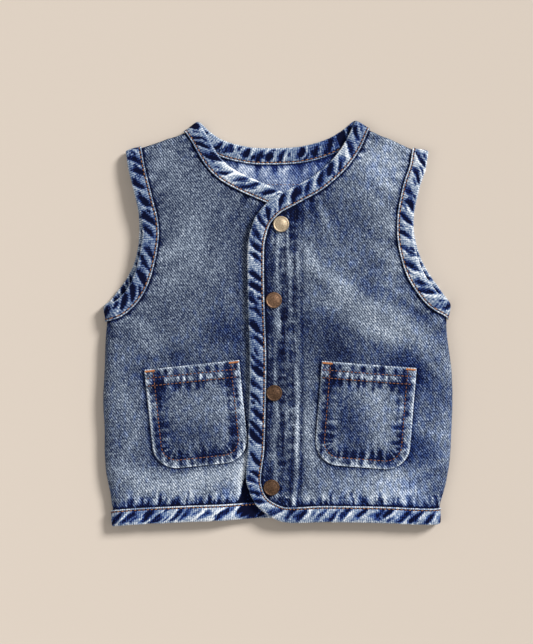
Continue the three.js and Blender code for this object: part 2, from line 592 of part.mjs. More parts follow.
const HIDDEN = { from: 0, to: Infinity };
const UNDER_LAP = { from: nearestRun(EDGES.left, UNDER_TOP), to: nearestRun(EDGES.left, UNDER_FOOT) };
add('back_panel', backPanel(), DENIM);
add('left_front',
  frontPanel(LAYERS.left, EDGES.left, EDGES.armLeftFront, -1, LEFT_COLUMNS), DENIM);
add('right_front',
  frontPanel(LAYERS.right, EDGES.right, EDGES.armRightFront, 1, RIGHT_COLUMNS), DENIM);
add('binding_left', binding(EDGES.left, UNDER_LAP), DENIM_TAPE);
add('binding_right', binding(EDGES.right), DENIM_TAPE);
add('binding_back_neck', binding(EDGES.neckBack), DENIM_TAPE);
add('binding_back_hem', binding(EDGES.hemBack, HIDDEN), DENIM_TAPE);
add('binding_arm_left_front', binding(EDGES.armLeftFront), DENIM_TAPE);
add('binding_arm_left_back', binding(EDGES.armLeftBack, HIDDEN), DENIM_TAPE);
add('binding_arm_right_front', binding(EDGES.armRightFront), DENIM_TAPE);
add('binding_arm_right_back', binding(EDGES.armRightBack, HIDDEN), DENIM_TAPE);
add('pocket_left', pocket(LAYERS.left, POCKETS.left), DENIM_POCKET);
add('pocket_right', pocket(LAYERS.right, POCKETS.right), DENIM_POCKET);
SNAPS.forEach((place, i) => add(`snap_cap_${i + 1}`, snapCap(place), BRASS));

export default group;
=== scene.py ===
import math

import bpy
import numpy as np
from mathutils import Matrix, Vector


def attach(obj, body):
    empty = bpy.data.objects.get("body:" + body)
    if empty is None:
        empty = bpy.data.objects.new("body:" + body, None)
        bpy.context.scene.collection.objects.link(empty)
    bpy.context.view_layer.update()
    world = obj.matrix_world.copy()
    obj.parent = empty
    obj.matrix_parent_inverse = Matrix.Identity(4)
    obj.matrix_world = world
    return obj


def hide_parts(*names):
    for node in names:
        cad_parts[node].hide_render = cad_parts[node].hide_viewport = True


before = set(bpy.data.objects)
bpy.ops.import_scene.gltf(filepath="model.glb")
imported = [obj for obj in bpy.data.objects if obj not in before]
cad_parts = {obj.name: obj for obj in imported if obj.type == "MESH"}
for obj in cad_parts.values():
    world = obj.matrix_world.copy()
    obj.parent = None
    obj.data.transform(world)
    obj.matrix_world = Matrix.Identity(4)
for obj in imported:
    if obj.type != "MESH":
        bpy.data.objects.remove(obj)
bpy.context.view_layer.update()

# Child's denim vest lying flat on its back. Sizes in millimetres, in the CAD's own frame:
# x to the right, y to the neck, z up; p and q are the same on the flattened cloth.
MM = 0.001
CLOTH = 1.2
TAPE = 1.0
TAPE_CLEAR = 0.55
TAPE_WIDTH = 14.2
# How much narrower the binding is round a front's lower corner, and how far along it
TAPE_NARROW_SHARE, TAPE_NARROW_REACH = 0.22, 30.0
TAPE_HOLD = 3.0  # from a bound edge to the panel's raw edge inside the binding
SEAM = 0.42  # from a panel's edge to its side or shoulder seam
LIFT = TAPE + TAPE_CLEAR + 0.03  # the back's height round its rim, where its binding is under it
# How far the left front lies under the right one: below a panel, and where bindings cross
LAP_PANEL, LAP_TAPE = 3.35, 4.95
# The heights in y between which the bindings come to cross, at the neck and at the hem
LAP_NECK_FROM, LAP_NECK_TO, LAP_NECK_TOP = 52.0, 78.0, 105.0
LAP_HEM_FROM, LAP_HEM_TO = -118.0, -142.0
# How far inside the lap's edge the left front is fully under it, and where that begins
LAP_NEAR, LAP_BODY, LAP_NECK = 1.0, 30.0, 52.0
MIDDLE = np.array([0.34, 0.784, 0.0])  # of the outline, which the CAD puts at its origin

# Fineness of the visual cloth
CELL_FRONT = 1.6
CELL_BACK = 2.6
CELL_BACK_RIM = 1.2
CELL_TAPE = 1.25
CELL_POCKET = 1.1


def named(names, rows):
    return dict(zip(names.split(), np.array(rows, float).T))


SIDE_LEFT = named("y x", [
    [-176.3, -143.1], [-160.6, -143.9], [-146.6, -146.1], [-136.1, -148.3], [-127.3, -149.8],
    [-109.8, -150.9], [-92.3, -150.9], [-66.1, -152.2], [-39.8, -150.9], [-13.6, -150.1],
    [3.9, -148.9], [17.1, -150.5], [38.9, -150.1], [91.4, -148.3], [196.4, -144.8]])
SIDE_RIGHT = named("y x", [
    [-176.3, 140.9], [-160.6, 140.9], [-148.3, 144.4], [-136.1, 147.4], [-122.9, 149.6],
    [-109.8, 150.9], [-92.3, 151.8], [-66.1, 152.7], [-39.8, 151.8], [-22.3, 149.6],
    [-9.2, 147.9], [4, 147.6], [18.4, 149.8], [38.9, 150.9], [91.4, 149.2],
    [196.4, 145.7]])
SHOULDERS = named("x y", [
    [-151.8, 143.9], [-132.6, 150.1], [-109.8, 157.1], [-97.6, 161.4], [-84.4, 165.8],
    [-76.6, 170.2], [-69.6, 176.3], [-62.6, 183.3], [-53.8, 189.4], [-32.8, 192.9],
    [31.1, 192.9], [52.1, 189.4], [60.8, 183.3], [67.8, 177.2], [77.4, 171.1], [87.9, 165.8],
    [99.3, 161.4], [108.1, 157.1], [118.6, 152.7], [131.7, 150.1], [150.1, 145.7]])
EDGE_LEFT = named("x y", [
    [-70, 176], [-62, 165.6], [-56.6, 155.6], [-50.6, 146.2], [-41.8, 137.5], [-27.1, 129.4],
    [-13.7, 123.6], [4.4, 114.7], [13.1, 105.4], [17.5, 92.3], [18.4, 73.9], [18.4, 21.4],
    [18.4, -48.6], [18.4, -105.4], [17.1, -131.7], [11.4, -150.9], [-0.4, -163.2],
    [-16.2, -167.9], [-43.7, -170.6], [-75, -171.9], [-110.7, -173.5], [-128.5, -174.6],
    [-143.1, -176.3]])
EDGE_RIGHT = named("x y", [
    [68.1, 176.9], [63, 166.7], [57.3, 156.2], [50.3, 146.6], [41, 137.3], [29.2, 127.9],
    [17.5, 121.5], [5.7, 115.1], [-4.8, 109.4], [-12.7, 102.3], [-19.2, 93.8], [-23, 83.6],
    [-25.5, 72.2], [-26.2, 56.4], [-25.8, 19.7], [-24.2, -31.1], [-25, -82.7],
    [-25.8, -109.8], [-27.3, -128.2], [-26.1, -140.9], [-19.2, -156.2], [-8.3, -165.8],
    [6.6, -172.2], [42.4, -172.1], [87.9, -172.8], [131.7, -174.6], [140.9, -173.9]])
ARM_LEFT_FRONT = named("x y", [
    [-132.6, 149.9], [-129.9, 135.2], [-125.6, 117.7], [-121.6, 101.9], [-118.6, 90.6],
    [-117.5, 79.2], [-118.8, 67.8], [-120.8, 57.3], [-124.7, 43.3], [-130.2, 31.9],
    [-138.2, 22.8], [-145.7, 18.1], [-150.5, 16.6]])
ARM_LEFT_BACK = named("x y", [
    [-132.6, 149.9], [-129.5, 135.2], [-125.1, 117.7], [-122.1, 101.9], [-120.7, 87.1],
    [-121.6, 70.4], [-123.8, 58.2], [-128.2, 46.8], [-134.3, 36.3], [-140.9, 27.6],
    [-146.1, 21], [-150.5, 16.6]])
ARM_RIGHT_FRONT = named("x y", [
    [131.7, 149.9], [129.1, 135.2], [124.2, 121.2], [120.8, 107.2], [118.6, 94.9],
    [118.1, 82.7], [119, 72.2], [121, 62.6], [123.8, 52.9], [128.2, 43.3], [134.3, 34.1],
    [141.8, 25.4], [149.9, 18.4]])
ARM_RIGHT_BACK = named("x y", [
    [131.7, 149.9], [128.9, 135.2], [124.1, 121.2], [120.8, 107.2], [119.1, 94.9],
    [119, 82.7], [120.5, 73.1], [122.9, 64.3], [126.4, 55.1], [131.7, 45.5], [138.7, 35.4],
    [145.2, 26.2], [149.9, 18.4]])
NECK_BACK = named("x y", [
    [-69.3, 176.3], [-63.4, 171.9], [-55.6, 165.4], [-45.9, 160.3], [-32.8, 156.5],
    [-18.8, 154.3], [-0.4, 154.1], [17.1, 155.1], [31.9, 158.1], [43.3, 162], [52.1, 166.5],
    [59.9, 171.5], [67.4, 177.2]])
HEM_BACK = named("x y", [
    [-143.1, -176.3], [-111.6, -172.4], [-67.8, -170.2], [-0.4, -168.9], [63.4, -169.8],
    [107.2, -171.5], [140.9, -173.9]])
LAP_ROWS = 20  # rows of EDGE_RIGHT down to the rounded corner
CORNER_LEFT = (11.4, -150.9)
CORNER_RIGHT = (-19.2, -156.2)

RISE = named("y crown flank seam", [
    [-177, 12.4, 11.8, 5.5], [-150, 13.5, 12, 5.7], [-110, 15.3, 12.8, 5.9],
    [-50, 16.4, 13.5, 6], [10, 16.2, 13, 6], [40, 15.4, 12.4, 5.8], [80, 14, 11.9, 5.4],
    [115, 12.7, 11.3, 5], [140, 10.6, 9.8, 4.6], [158, 9, 8.7, 4.6], [178, 8.4, 8.4, 4.6]])
HALF_WIDTH = 150.0  # of the fronts' dome
# Reach in plan and along the cloth of the turn to a seam
FRONT_ROLLS = {"side": (10.0, 15.0), "shoulder": (3.5, 5.6)}
BACK_ROLLS = {"side": (4.0, 6.2), "shoulder": (3.0, 4.9)}
# The part of the back that rests flat, and the run over which its rim rises
REST_X, REST_TOP, REST_BOTTOM, REST_RUN = 88.0, 95.0, -138.0, 18.0

# Soft folds: middle, direction in degrees, half length and width, height
FOLDS = [
    (-37, -130, 78, 30, 12, 2.1), (-122, -134, -18, 24, 8, 1.3), (-66, -134, 11, 40, 9, 1.3),
    (-100, -119, 2, 34, 8, -0.8), (-77, 80, 84, 44, 14, 1), (-40, 50, 88, 60, 12, -0.9),
    (-112, 6, 20, 34, 13, -0.8), (34, 47, -37, 34, 10, 1.6), (88, 14, -29, 32, 10, 1.8),
    (130, -18, -44, 28, 8, 1.7), (56, 4, -36, 36, 11, -1.2), (114, -29, -38, 34, 9, -1),
    (130, -71, -37, 26, 8, 1), (128, -106, 8, 26, 10, -0.8), (72, 84, -42, 30, 9, -1),
    (98, 43, -22, 24, 8, -0.7), (92, 104, -58, 32, 11, 1), (72, -147, 3, 36, 9, 1)]
# Smaller creases, only in the visual cloth, with the same columns
CREASES = {
    "left": [
        (-28, 98, 62, 22, 3.2, 0.5), (-18, 92, 68, 20, 2.6, -0.45), (-40, 104, 55, 18, 3, 0.35),
        (-98, 60, 20, 18, 4, 0.2), (-101, 46, 28, 20, 4, -0.2), (-122, 2, -38, 18, 4, 0.5),
        (-128, -12, -42, 16, 3.5, -0.4), (-112, -20, -30, 20, 5, 0.35),
        (-134, -60, -74, 24, 4, 0.4), (-128, -104, 66, 22, 4, 0.4), (-60, -22, 8, 26, 5, 0.35),
        (-90, -26, 12, 18, 4, -0.3), (-112, 128, 70, 16, 4, 0.4), (-58, 70, 80, 26, 5, -0.35),
        (-118, -146, 14, 18, 4, 0.5), (-66, -150, -4, 20, 4, 0.4), (-42, 20, 88, 34, 5, 0.35)],
    "right": [
        (24, 104, -86, 16, 3, 0.55), (31, 98, -76, 20, 2.8, -0.5), (39, 96, -68, 24, 3, 0.5),
        (47, 98, -62, 22, 3.4, -0.4), (26, 64, -60, 22, 4, 0.4), (40, 32, -44, 22, 4, -0.4),
        (60, 34, -34, 26, 4, 0.35), (84, 68, -36, 22, 5, 0.4), (106, 70, 30, 14, 4, -0.35),
        (110, 24, -34, 24, 3.4, 0.5), (120, 12, -38, 22, 3.4, -0.45), (134, -36, -52, 18, 3.6, 0.5),
        (126, -50, -40, 22, 3.6, -0.45), (138, -62, -62, 18, 3.6, 0.4), (120, -90, -22, 20, 4, 0.4),
        (132, -124, 24, 20, 4, 0.45), (124, -136, 30, 16, 3.6, -0.35), (34, 0, -84, 30, 4.5, 0.35),
        (64, -8, -30, 26, 4, -0.35), (92, -8, -20, 22, 4, 0.35), (104, -148, 10, 22, 4, 0.5),
        (46, -146, -6, 18, 4, -0.4), (30, -118, 86, 26, 4, 0.4), (88, 112, -62, 22, 5, -0.35)],
    "back": [
        (-30, 132, 84, 14, 3, 0.3), (-18, 134, 90, 12, 2.4, -0.3), (4, 133, 94, 14, 2.6, 0.3),
        (20, 132, 82, 12, 3, -0.25), (34, 134, 98, 12, 3, 0.3), (-18.3, 135, 94, 8, 1.1, -0.8)],
}
# Patches painted lighter and darker: the painted light and shade of the folds and of the form, with
# painted shadow beside the neck's fold by the top snap, and stronger and weaker wash: middle,
# reach, amount
SHADE_AND_WASH = {
    "left": [(-138, -127, 11, 0.3), (-118, -136, 14, 0.4), (-93, -141, 15, 0.4),
             (-66, -137, 17, 0.35), (-42, -127, 14, 0.3), (-80, 78, 34, 0.1),
             (-130, -60, 26, 0.1), (-34, 40, 24, -0.3), (-32, 90, 18, -0.3),
             (-98, 146, 18, 0.3), (-20, 100, 16, -0.3), (-96, 42, 20, 0.35),
             (-120, 12, 14, 0.35), (-56, 50, 15, 0.25), (-46, 0, 20, -0.45),
             (-36, -14, 14, -0.35), (-64, -28, 16, -0.35), (-90, -30, 14, -0.4),
             (-133, -50, 12, -0.3), (-34, -134, 9, 0.15), (-27, -112, 8, 0.35),
             (-60, -128, 13, 0.25), (-80, -150, 14, 0.3), (-110, -112, 20, -0.15)],
    "right": [(84, -146, 26, 0.4), (48, -148, 20, 0.4), (112, -152, 14, 0.3),
              (26, 56, 14, 0.15), (52, 23, 14, 0.55), (75, 3, 18, 0.55), (98, -10, 16, 0.4),
              (110, 2, 14, 0.15), (132, -18, 16, 0.15), (78, 29, 12, -0.35),
              (44, -14, 18, -0.75), (60, -30, 13, -0.55), (86, -24, 12, -0.4), (28, 2, 14, -0.4),
              (118, -40, 18, -0.55), (100, -36, 11, -0.35), (140, -52, 12, -0.2),
              (137, -70, 9, -0.4), (143, -98, 15, 0.45), (148, -38, 9, 0.35),
              (128, -110, 18, -0.35), (98, -128, 14, 0.55), (128, -138, 12, 0.3),
              (70, 86, 18, -0.2), (90, 100, 20, 0.35), (98, 80, 12, 0.25), (100, 46, 12, 0.5),
              (66, 150, 16, 0.7), (96, 144, 24, 0.75), (122, 142, 10, 0.3),
              (26, -82, 14, 0.5), (24, -104, 12, 0.3), (26, -151, 7, 0.5),
              (10, 100, 13, -0.8), (28, 104, 12, -0.5)],
    "back": [(-40, -60, 60, 0.1), (60, 40, 50, 0.08), (0, -150, 40, 0.2)],
}
# The same painted light and shade with wash on the inside of the back, where the neck shows it,
# with painted shade towards the right, and on the bindings, with the painted shadow of the lap's
# loose fold on the left hem
NECK_SHADE_AND_WASH = [(0, 130, 60, 0.1), (48, 128, 22, -0.8), (-26, 140, 14, 0.4)]
TAPE_SHADE_AND_WASH = {
    "left": [(-36, 136, 12, 0.9), (-22, 128, 10, 0.7), (-62, 150, 14, -0.4), (-116, -163, 16, -0.4),
             (-62, -163, 22, 0.25), (-21, -162, 9, -2.2)],
    "right": [(-20, 62, 24, 0.3), (-18, -4, 24, -0.25), (-16, -100, 18, -0.2), (14, -160, 9, -0.4),
              (60, -170, 40, 0.1), (56, 150, 12, 0.4)],
    "arm_right_front": [(122, 142, 14, 0.5), (122, 44, 14, 0.3), (112, 70, 12, 0.2)],
}
# Where the cloth keeps more or less of its blue, in the same columns; it is greyer in patches of
# painted shade, so that these look like shade and not like dye
TINT = [(-85, 85, 62, -0.45), (-120, 10, 30, -0.2), (12, 44, 18, -0.3), (2, 10, 22, -0.4),
        (2, -48, 24, -0.4), (2, -98, 22, -0.3), (132, -92, 40, 0.36), (76, -80, 34, 0.1),
        (126, -20, 26, 0.3), (60, -152, 26, 0.45), (112, -153, 26, 0.7), (90, 138, 22, 0.6),
        (46, -16, 18, -0.45), (-36, -146, 20, 0.3), (-120, -160, 22, 0.4), (-80, -160, 22, 0.4),
        (-42, -160, 20, 0.4), (50, 50, 30, 0.15), (100, 30, 26, 0.2)]

# Each pocket's patches are painted light and shade over its puffed form, with its uneven wash:
# middle across and down, reach, amount
POCKETS = {
    "left": {"x": -70.2, "y": -78.9, "turn": 6, "width": 82.5, "height": 88,
             "shade_and_wash": [(-4, 40, 18, 0.1), (22, 34, 14, 0.2), (-20, 64, 16, -0.3),
                      (-26, 20, 10, -0.4), (22, 16, 9, 0.3), (-2, 60, 13, -0.3)]},
    "right": {"x": 76.1, "y": -79.5, "turn": -4.5, "width": 82.5, "height": 89.5,
              "shade_and_wash": [(-16, 48, 15, -0.5), (14, 36, 20, 0.35), (20, 64, 14, 0.4),
                       (-6, 70, 14, -0.4), (-34, 36, 8, 0.4), (8, 22, 12, 0.25)]},
}
POCKET_CORNER, POCKET_HEM, POCKET_HEM_EXTRA = 21.0, 15.2, 1.1
POCKET_CLEAR, POCKET_PUFF = 0.65, 1.6
POCKET_ROWS = (7.6, 14.4)  # stitch rows of the turned hem, down from the top edge
POCKET_INSET = 7.6  # stitch row in from the sides and the bottom
SNAPS = [(3.1, 87.3), (-3.2, 21.1), (-2.9, -59.5), (-5.2, -141.7)]
SNAP_CLEAR = 0.35
POCKET_UV_SHIFT = 300  # so that a pocket's weave doesn't run on from its panel's
# The caps are alike: the top one is painted paler as a painted highlight, the lower two darker as
# painted shade
SNAP_BRASS = ["brass_pale", "brass", "brass_painted_shade", "brass_painted_shade"]

STITCH_LONG, STITCH_GAP, STITCH_THICK = 2.4, 1.2, 0.5
STITCH_FROM = 0.6  # from the start of a row to its first stitch
# Height of a binding's stitches over the cloth, less where the binding rests on the floor
STITCH_HIGH, STITCH_SUNK = 0.78, 0.28
POCKET_STITCH = (0.38, 2.8, 0.6)  # thickness, length and gap of the pockets' stitches
# The left front's loose fold beside the lap, and the painted shadow in the gap that it leaves at
# the hem
GAP_EDGE = named("y x", [
    [-160, -39], [-156, -36.7], [-151, -33.4], [-139.5, -30.5], [-128, -27.9], [-119, -27],
    [-102, -26.2]])
PLACKET_ROWS = named("y first second ridge trough", [
    [-160, 3.4, 10.4, 13.6, 17.4], [-120, 5, 13, 16.6, 20.4], [0, 6.4, 14.6, 17.6, 21.2],
    [60, 6.6, 14.9, 17.8, 21.4], [108, 7.4, 15.8, 18.4, 22]])


def mix(a, b, t):
    return a + (b - a) * t


def bell(off, reach):
    return np.exp(-((off / reach) ** 2))


def smooth(start, end, value):
    t = np.clip((value - start) / (end - start), 0, 1)
    return t * t * (3 - 2 * t)


def weighed(shares, **parts):
    """Sum of the parts, each times its named share."""
    return sum(share * parts[key] for key, share in shares.items())


def along(rows, key, column, last=None):
    """Smooth curve through the rows: the value of one column at a place in another."""
    at, value = rows[key][:last], rows[column][:last]
    if at[0] > at[-1]:
        at, value = at[::-1], value[::-1]
    index = np.arange(len(at))
    low, high = np.maximum(index - 1, 0), np.minimum(index + 1, len(at) - 1)
    slope = (value[high] - value[low]) / (at[high] - at[low])

    def curve(place):
        x = np.clip(np.asarray(place, float), at[0], at[-1])
        i = np.clip(np.searchsorted(at, x, side="right") - 1, 0, len(at) - 2)
        span = at[i + 1] - at[i]
        t = (x - at[i]) / span
        return ((2 * t**3 - 3 * t**2 + 1) * value[i] + (t**3 - 2 * t**2 + t) * span * slope[i]
                + (3 * t**2 - 2 * t**3) * value[i + 1] + (t**3 - t**2) * span * slope[i + 1])

    return curve


side_left = along(SIDE_LEFT, "y", "x")
side_right = along(SIDE_RIGHT, "y", "x")
shoulder_line = along(SHOULDERS, "x", "y")
crown_at = along(RISE, "y", "crown")
flank_at = along(RISE, "y", "flank")
seam_height = along(RISE, "y", "seam")
lap_edge = along(EDGE_RIGHT, "y", "x", LAP_ROWS)
gap_edge = along(GAP_EDGE, "y", "x")


def scatter(seed, *cells):
    """A fixed number from -1 to 1 for each whole-number cell."""
    key = seed * 12.9898
    for cell, prime in zip(cells, (78.233, 37.719)):
        key = key + cell * prime
    value = np.sin(key) * 43758.5453
    return 2 * (value - np.floor(value)) - 1


def noise(seed, a, b=None):
    """Smooth noise from -1 to 1 over one or two coordinates."""
    a0 = np.floor(a)
    ta = smooth(0, 1, a - a0)
    if b is None:
        return mix(scatter(seed, a0), scatter(seed, a0 + 1), ta)
    b0 = np.floor(b)
    tb = smooth(0, 1, b - b0)
    low = mix(scatter(seed, a0, b0), scatter(seed, a0 + 1, b0), ta)
    high = mix(scatter(seed, a0, b0 + 1), scatter(seed, a0 + 1, b0 + 1), ta)
    return mix(low, high, tb)


def ridges(rows, x, y):
    """Sum of soft ridges and troughs."""
    total = np.zeros(np.broadcast(x, y).shape)
    for mx, my, turn, long, wide, high in rows:
        c, s = math.cos(math.radians(turn)), math.sin(math.radians(turn))
        dx, dy = x - mx, y - my
        total += high * np.exp(-((dx * c + dy * s) / long) ** 2 - ((dy * c - dx * s) / wide) ** 2)
    return total


def round_patches(rows, x, y):
    """Sum of round patches: tint, and painted light and shade with the wash."""
    return sum(amount * np.exp(-((x - mx) ** 2 + (y - my) ** 2) / reach**2)
               for mx, my, reach, amount in rows)


def face_height(x, y):
    dome = mix(flank_at(y), crown_at(y), 1 - smooth(0, 1, np.abs(x) / HALF_WIDTH))
    return dome + ridges(FOLDS, x, y)


def lap_drop(x, y):
    crossing = np.maximum(smooth(LAP_NECK_FROM, LAP_NECK_TO, y),
                          smooth(LAP_HEM_FROM, LAP_HEM_TO, y))
    run = mix(LAP_BODY, LAP_NECK, smooth(LAP_NECK_TO, LAP_NECK_TOP, y))
    under = smooth(0, 1, (x - lap_edge(y) + run) / (run - LAP_NEAR))
    return mix(LAP_PANEL, LAP_TAPE, crossing) * under


def back_lift(x, y):
    outside = np.hypot(np.maximum(np.abs(x) - REST_X, 0),
                       np.maximum(np.maximum(y - REST_TOP, REST_BOTTOM - y), 0))
    return LIFT * smooth(0, REST_RUN, outside)


LAYERS = {
    "left": {"rolls": FRONT_ROLLS, "face": 1,
             "height": lambda x, y: face_height(x, y) - lap_drop(x, y)},
    "right": {"rolls": FRONT_ROLLS, "face": 1, "height": face_height},
    "back": {"rolls": BACK_ROLLS, "face": -1, "height": back_lift},
}


def rolled(way, roll):
    plan, cloth = roll
    turn = np.minimum(way / cloth, 1) * math.pi / 2
    reach = np.where(way >= cloth, plan + way - cloth, plan * (1 - np.cos(turn)))
    return reach, np.sin(turn)


def unrolled(reach, roll):
    plan, cloth = roll
    turn = np.arccos(1 - np.clip(reach, 0, plan) / plan)
    return np.where(reach >= plan, reach - plan + cloth, turn / (math.pi / 2) * cloth)


def side_seam(layer, q, side):
    plan, cloth = layer["rolls"]["side"]
    return np.where(side < 0, side_left(q), side_right(q)) + side * (cloth - plan)


def shoulder_seam(layer, p):
    plan, cloth = layer["rolls"]["shoulder"]
    return shoulder_line(p) + cloth - plan


def face_point(layer, p, q):
    """Point of the cloth's face, and its place in plan, from p, q on the flattened cloth."""
    down, rise_up = rolled(shoulder_seam(layer, p) - q, layer["rolls"]["shoulder"])
    y = shoulder_line(p) - down
    side = np.where(p < 0, -1.0, 1.0)
    reach, rise_side = rolled(side * (side_seam(layer, y, side) - p), layer["rolls"]["side"])
    x = np.where(side < 0, side_left(y), side_right(y)) - side * reach
    z = mix(seam_height(y), layer["height"](x, y), rise_up * rise_side)
    return np.stack([x, y, z], axis=-1)


def cloth_point(layer, p, q, out):
    """Point moved out from the face, out of the garment being positive."""
    p, q, out = np.broadcast_arrays(np.asarray(p, float), np.asarray(q, float),
                                    np.asarray(out, float))
    step = 0.05
    across = face_point(layer, p + step, q) - face_point(layer, p - step, q)
    upward = face_point(layer, p, q + step) - face_point(layer, p, q - step)
    normal = np.cross(across, upward)
    normal /= np.linalg.norm(normal, axis=-1, keepdims=True)
    return face_point(layer, p, q) + normal * (out * layer["face"])[..., None]


def flattened(layer, x, y):
    """A place in plan taken to the flattened cloth, never past the seams."""
    x, y = np.asarray(x, float), np.asarray(y, float)
    side = np.where(x < 0, -1.0, 1.0)
    reach = side * (np.where(side < 0, side_left(y), side_right(y)) - x)
    way = np.maximum(unrolled(reach, layer["rolls"]["side"]), SEAM)
    p = side_seam(layer, y, side) - side * way
    way = np.maximum(unrolled(shoulder_line(p) - y, layer["rolls"]["shoulder"]), SEAM)
    return p, shoulder_seam(layer, p) - way


class BoundEdge:
    """A bound edge on the flattened cloth: at(s, inset) is the place s along it and inset
    towards the inside; near its ends the insets swing round to follow the seams."""

    SWING = 24.0
    TANGENT_STEP = 0.6

    def __init__(self, layer, marks, inside, seams=("shoulder", "side"), corner=None):
        self.layer, self.inside, self.seams = layer, inside, seams
        p, q = flattened(layer, marks["x"], marks["y"])
        run = np.concatenate([[0], np.cumsum(np.hypot(np.diff(p), np.diff(q)))])
        rows = {"run": run, "p": p, "q": q}
        self.p_at, self.q_at = along(rows, "run", "p"), along(rows, "run", "q")
        fine = np.linspace(0, run[-1], int(math.ceil(run[-1])) + 1)
        steps = np.hypot(np.diff(self.p_at(fine)), np.diff(self.q_at(fine)))
        s = np.concatenate([[0], np.cumsum(steps)])
        self.run_at = along({"s": s, "run": fine}, "s", "run")
        self.length = s[-1]
        self.turn = self.nearest(*flattened(layer, *corner)) if corner else None

    def place(self, s):
        run = self.run_at(s)
        return self.p_at(run), self.q_at(run)

    def inward(self, s):
        ap, aq = self.place(np.maximum(s - self.TANGENT_STEP, 0))
        bp, bq = self.place(np.minimum(s + self.TANGENT_STEP, self.length))
        size = np.hypot(bp - ap, bq - aq) * self.inside
        return (bq - aq) / size, -(bp - ap) / size

    def seam_place(self, seam, p, q, into, way):
        if seam == "shoulder":
            slope = shoulder_line(p + into[0]) - shoulder_line(p)
            p = p + np.sign(into[0]) * way / np.hypot(1, slope)
            return p, shoulder_seam(self.layer, p) - SEAM
        q = q + np.sign(into[1]) * way
        side = np.sign(p)
        return side_seam(self.layer, q, side) - side * SEAM, q

    def at(self, s, inset):
        s, inset = np.broadcast_arrays(np.asarray(s, float), np.asarray(inset, float))
        p, q = self.place(s)
        into = self.inward(s)
        p, q = p + into[0] * inset, q + into[1] * inset
        for end, seam in zip((0.0, self.length), self.seams):
            share = 1 - smooth(0, self.SWING, np.abs(s - end))
            ep, eq = self.place(end)
            ei = self.inward(end)
            gp, gq = self.seam_place(seam, ep, eq, ei, inset)
            p = p + share * (gp - ep - ei[0] * inset)
            q = q + share * (gq - eq - ei[1] * inset)
        return p, q

    def nearest(self, p, q):
        s = np.arange(0, self.length, 1.0)
        ep, eq = self.place(s)
        return s[np.argmin(np.hypot(ep - p, eq - q))]

    def broad(self, s):
        if self.turn is None:
            return np.ones(np.shape(s))
        return 1 - TAPE_NARROW_SHARE * bell(s - self.turn, TAPE_NARROW_REACH)


RIGHT_HAND, LEFT_HAND = 1, -1
BETWEEN_SHOULDERS, BETWEEN_SIDES = ("shoulder", "shoulder"), ("side", "side")
EDGES = {
    "left": BoundEdge(LAYERS["left"], EDGE_LEFT, RIGHT_HAND, corner=CORNER_LEFT),
    "right": BoundEdge(LAYERS["right"], EDGE_RIGHT, LEFT_HAND, corner=CORNER_RIGHT),
    "arm_left_front": BoundEdge(LAYERS["left"], ARM_LEFT_FRONT, LEFT_HAND),
    "arm_left_back": BoundEdge(LAYERS["back"], ARM_LEFT_BACK, LEFT_HAND),
    "arm_right_front": BoundEdge(LAYERS["right"], ARM_RIGHT_FRONT, RIGHT_HAND),
    "arm_right_back": BoundEdge(LAYERS["back"], ARM_RIGHT_BACK, RIGHT_HAND),
    "back_neck": BoundEdge(LAYERS["back"], NECK_BACK, RIGHT_HAND, BETWEEN_SHOULDERS),
    "back_hem": BoundEdge(LAYERS["back"], HEM_BACK, LEFT_HAND, BETWEEN_SIDES),
}


def shader_nodes(material):
    material.use_nodes = True
    tree = material.node_tree
    return tree, tree.nodes["Principled BSDF"]


class Graph:
    """Short names for the few shader nodes that the denim needs."""

    def __init__(self, tree):
        self.tree = tree

    def node(self, kind, **settings):
        made = self.tree.nodes.new(kind)
        for key, value in settings.items():
            setattr(made, key, value)
        return made

    def feed(self, made, *values):
        for socket, value in zip(made.inputs, values):
            if isinstance(value, bpy.types.NodeSocket):
                self.tree.links.new(value, socket)
            elif value is not None:
                socket.default_value = value
        return made.outputs[0]

    def math(self, operation, *values):
        return self.feed(self.node("ShaderNodeMath", operation=operation), *values)

    def scaled(self, vector, scale):
        made = self.node("ShaderNodeVectorMath", operation="MULTIPLY")
        return self.feed(made, vector, scale)

    def dot(self, vector, direction):
        made = self.node("ShaderNodeVectorMath", operation="DOT_PRODUCT")
        self.feed(made, vector, direction)
        return made.outputs["Value"]

    def speckle(self, vector, scale, detail=2.0):
        """Noise centred on zero, about -0.5 to 0.5."""
        made = self.node("ShaderNodeTexNoise")
        self.tree.links.new(self.scaled(vector, scale), made.inputs["Vector"])
        made.inputs["Scale"].default_value = 1.0
        made.inputs["Detail"].default_value = detail
        return self.math("SUBTRACT", made.outputs["Fac"], 0.5)

    def attribute(self, name):
        return self.node("ShaderNodeAttribute", attribute_name=name).outputs["Fac"]

    def mixed(self, share, first, second):
        made = self.node("ShaderNodeMix", data_type="RGBA")
        for place, socket in ((0, share), (6, first), (7, second)):
            self.tree.links.new(socket, made.inputs[place])
        return made.outputs[2]

    def ramp(self, value, stops):
        made = self.node("ShaderNodeValToRGB")
        self.tree.links.new(value, made.inputs["Fac"])
        ramp = made.color_ramp
        while len(ramp.elements) < len(stops):
            ramp.elements.new(0.5)
        for element, (place, colour) in zip(ramp.elements, stops):
            element.position = place
            element.color = (*srgb(*colour), 1)
        return made.outputs["Color"]


def srgb(*levels):
    """0 to 255 display levels as linear light."""
    shares = [level / 255 for level in levels]
    return tuple(c / 12.92 if c <= 0.04045 else ((c + 0.055) / 1.055) ** 2.4 for c in shares)


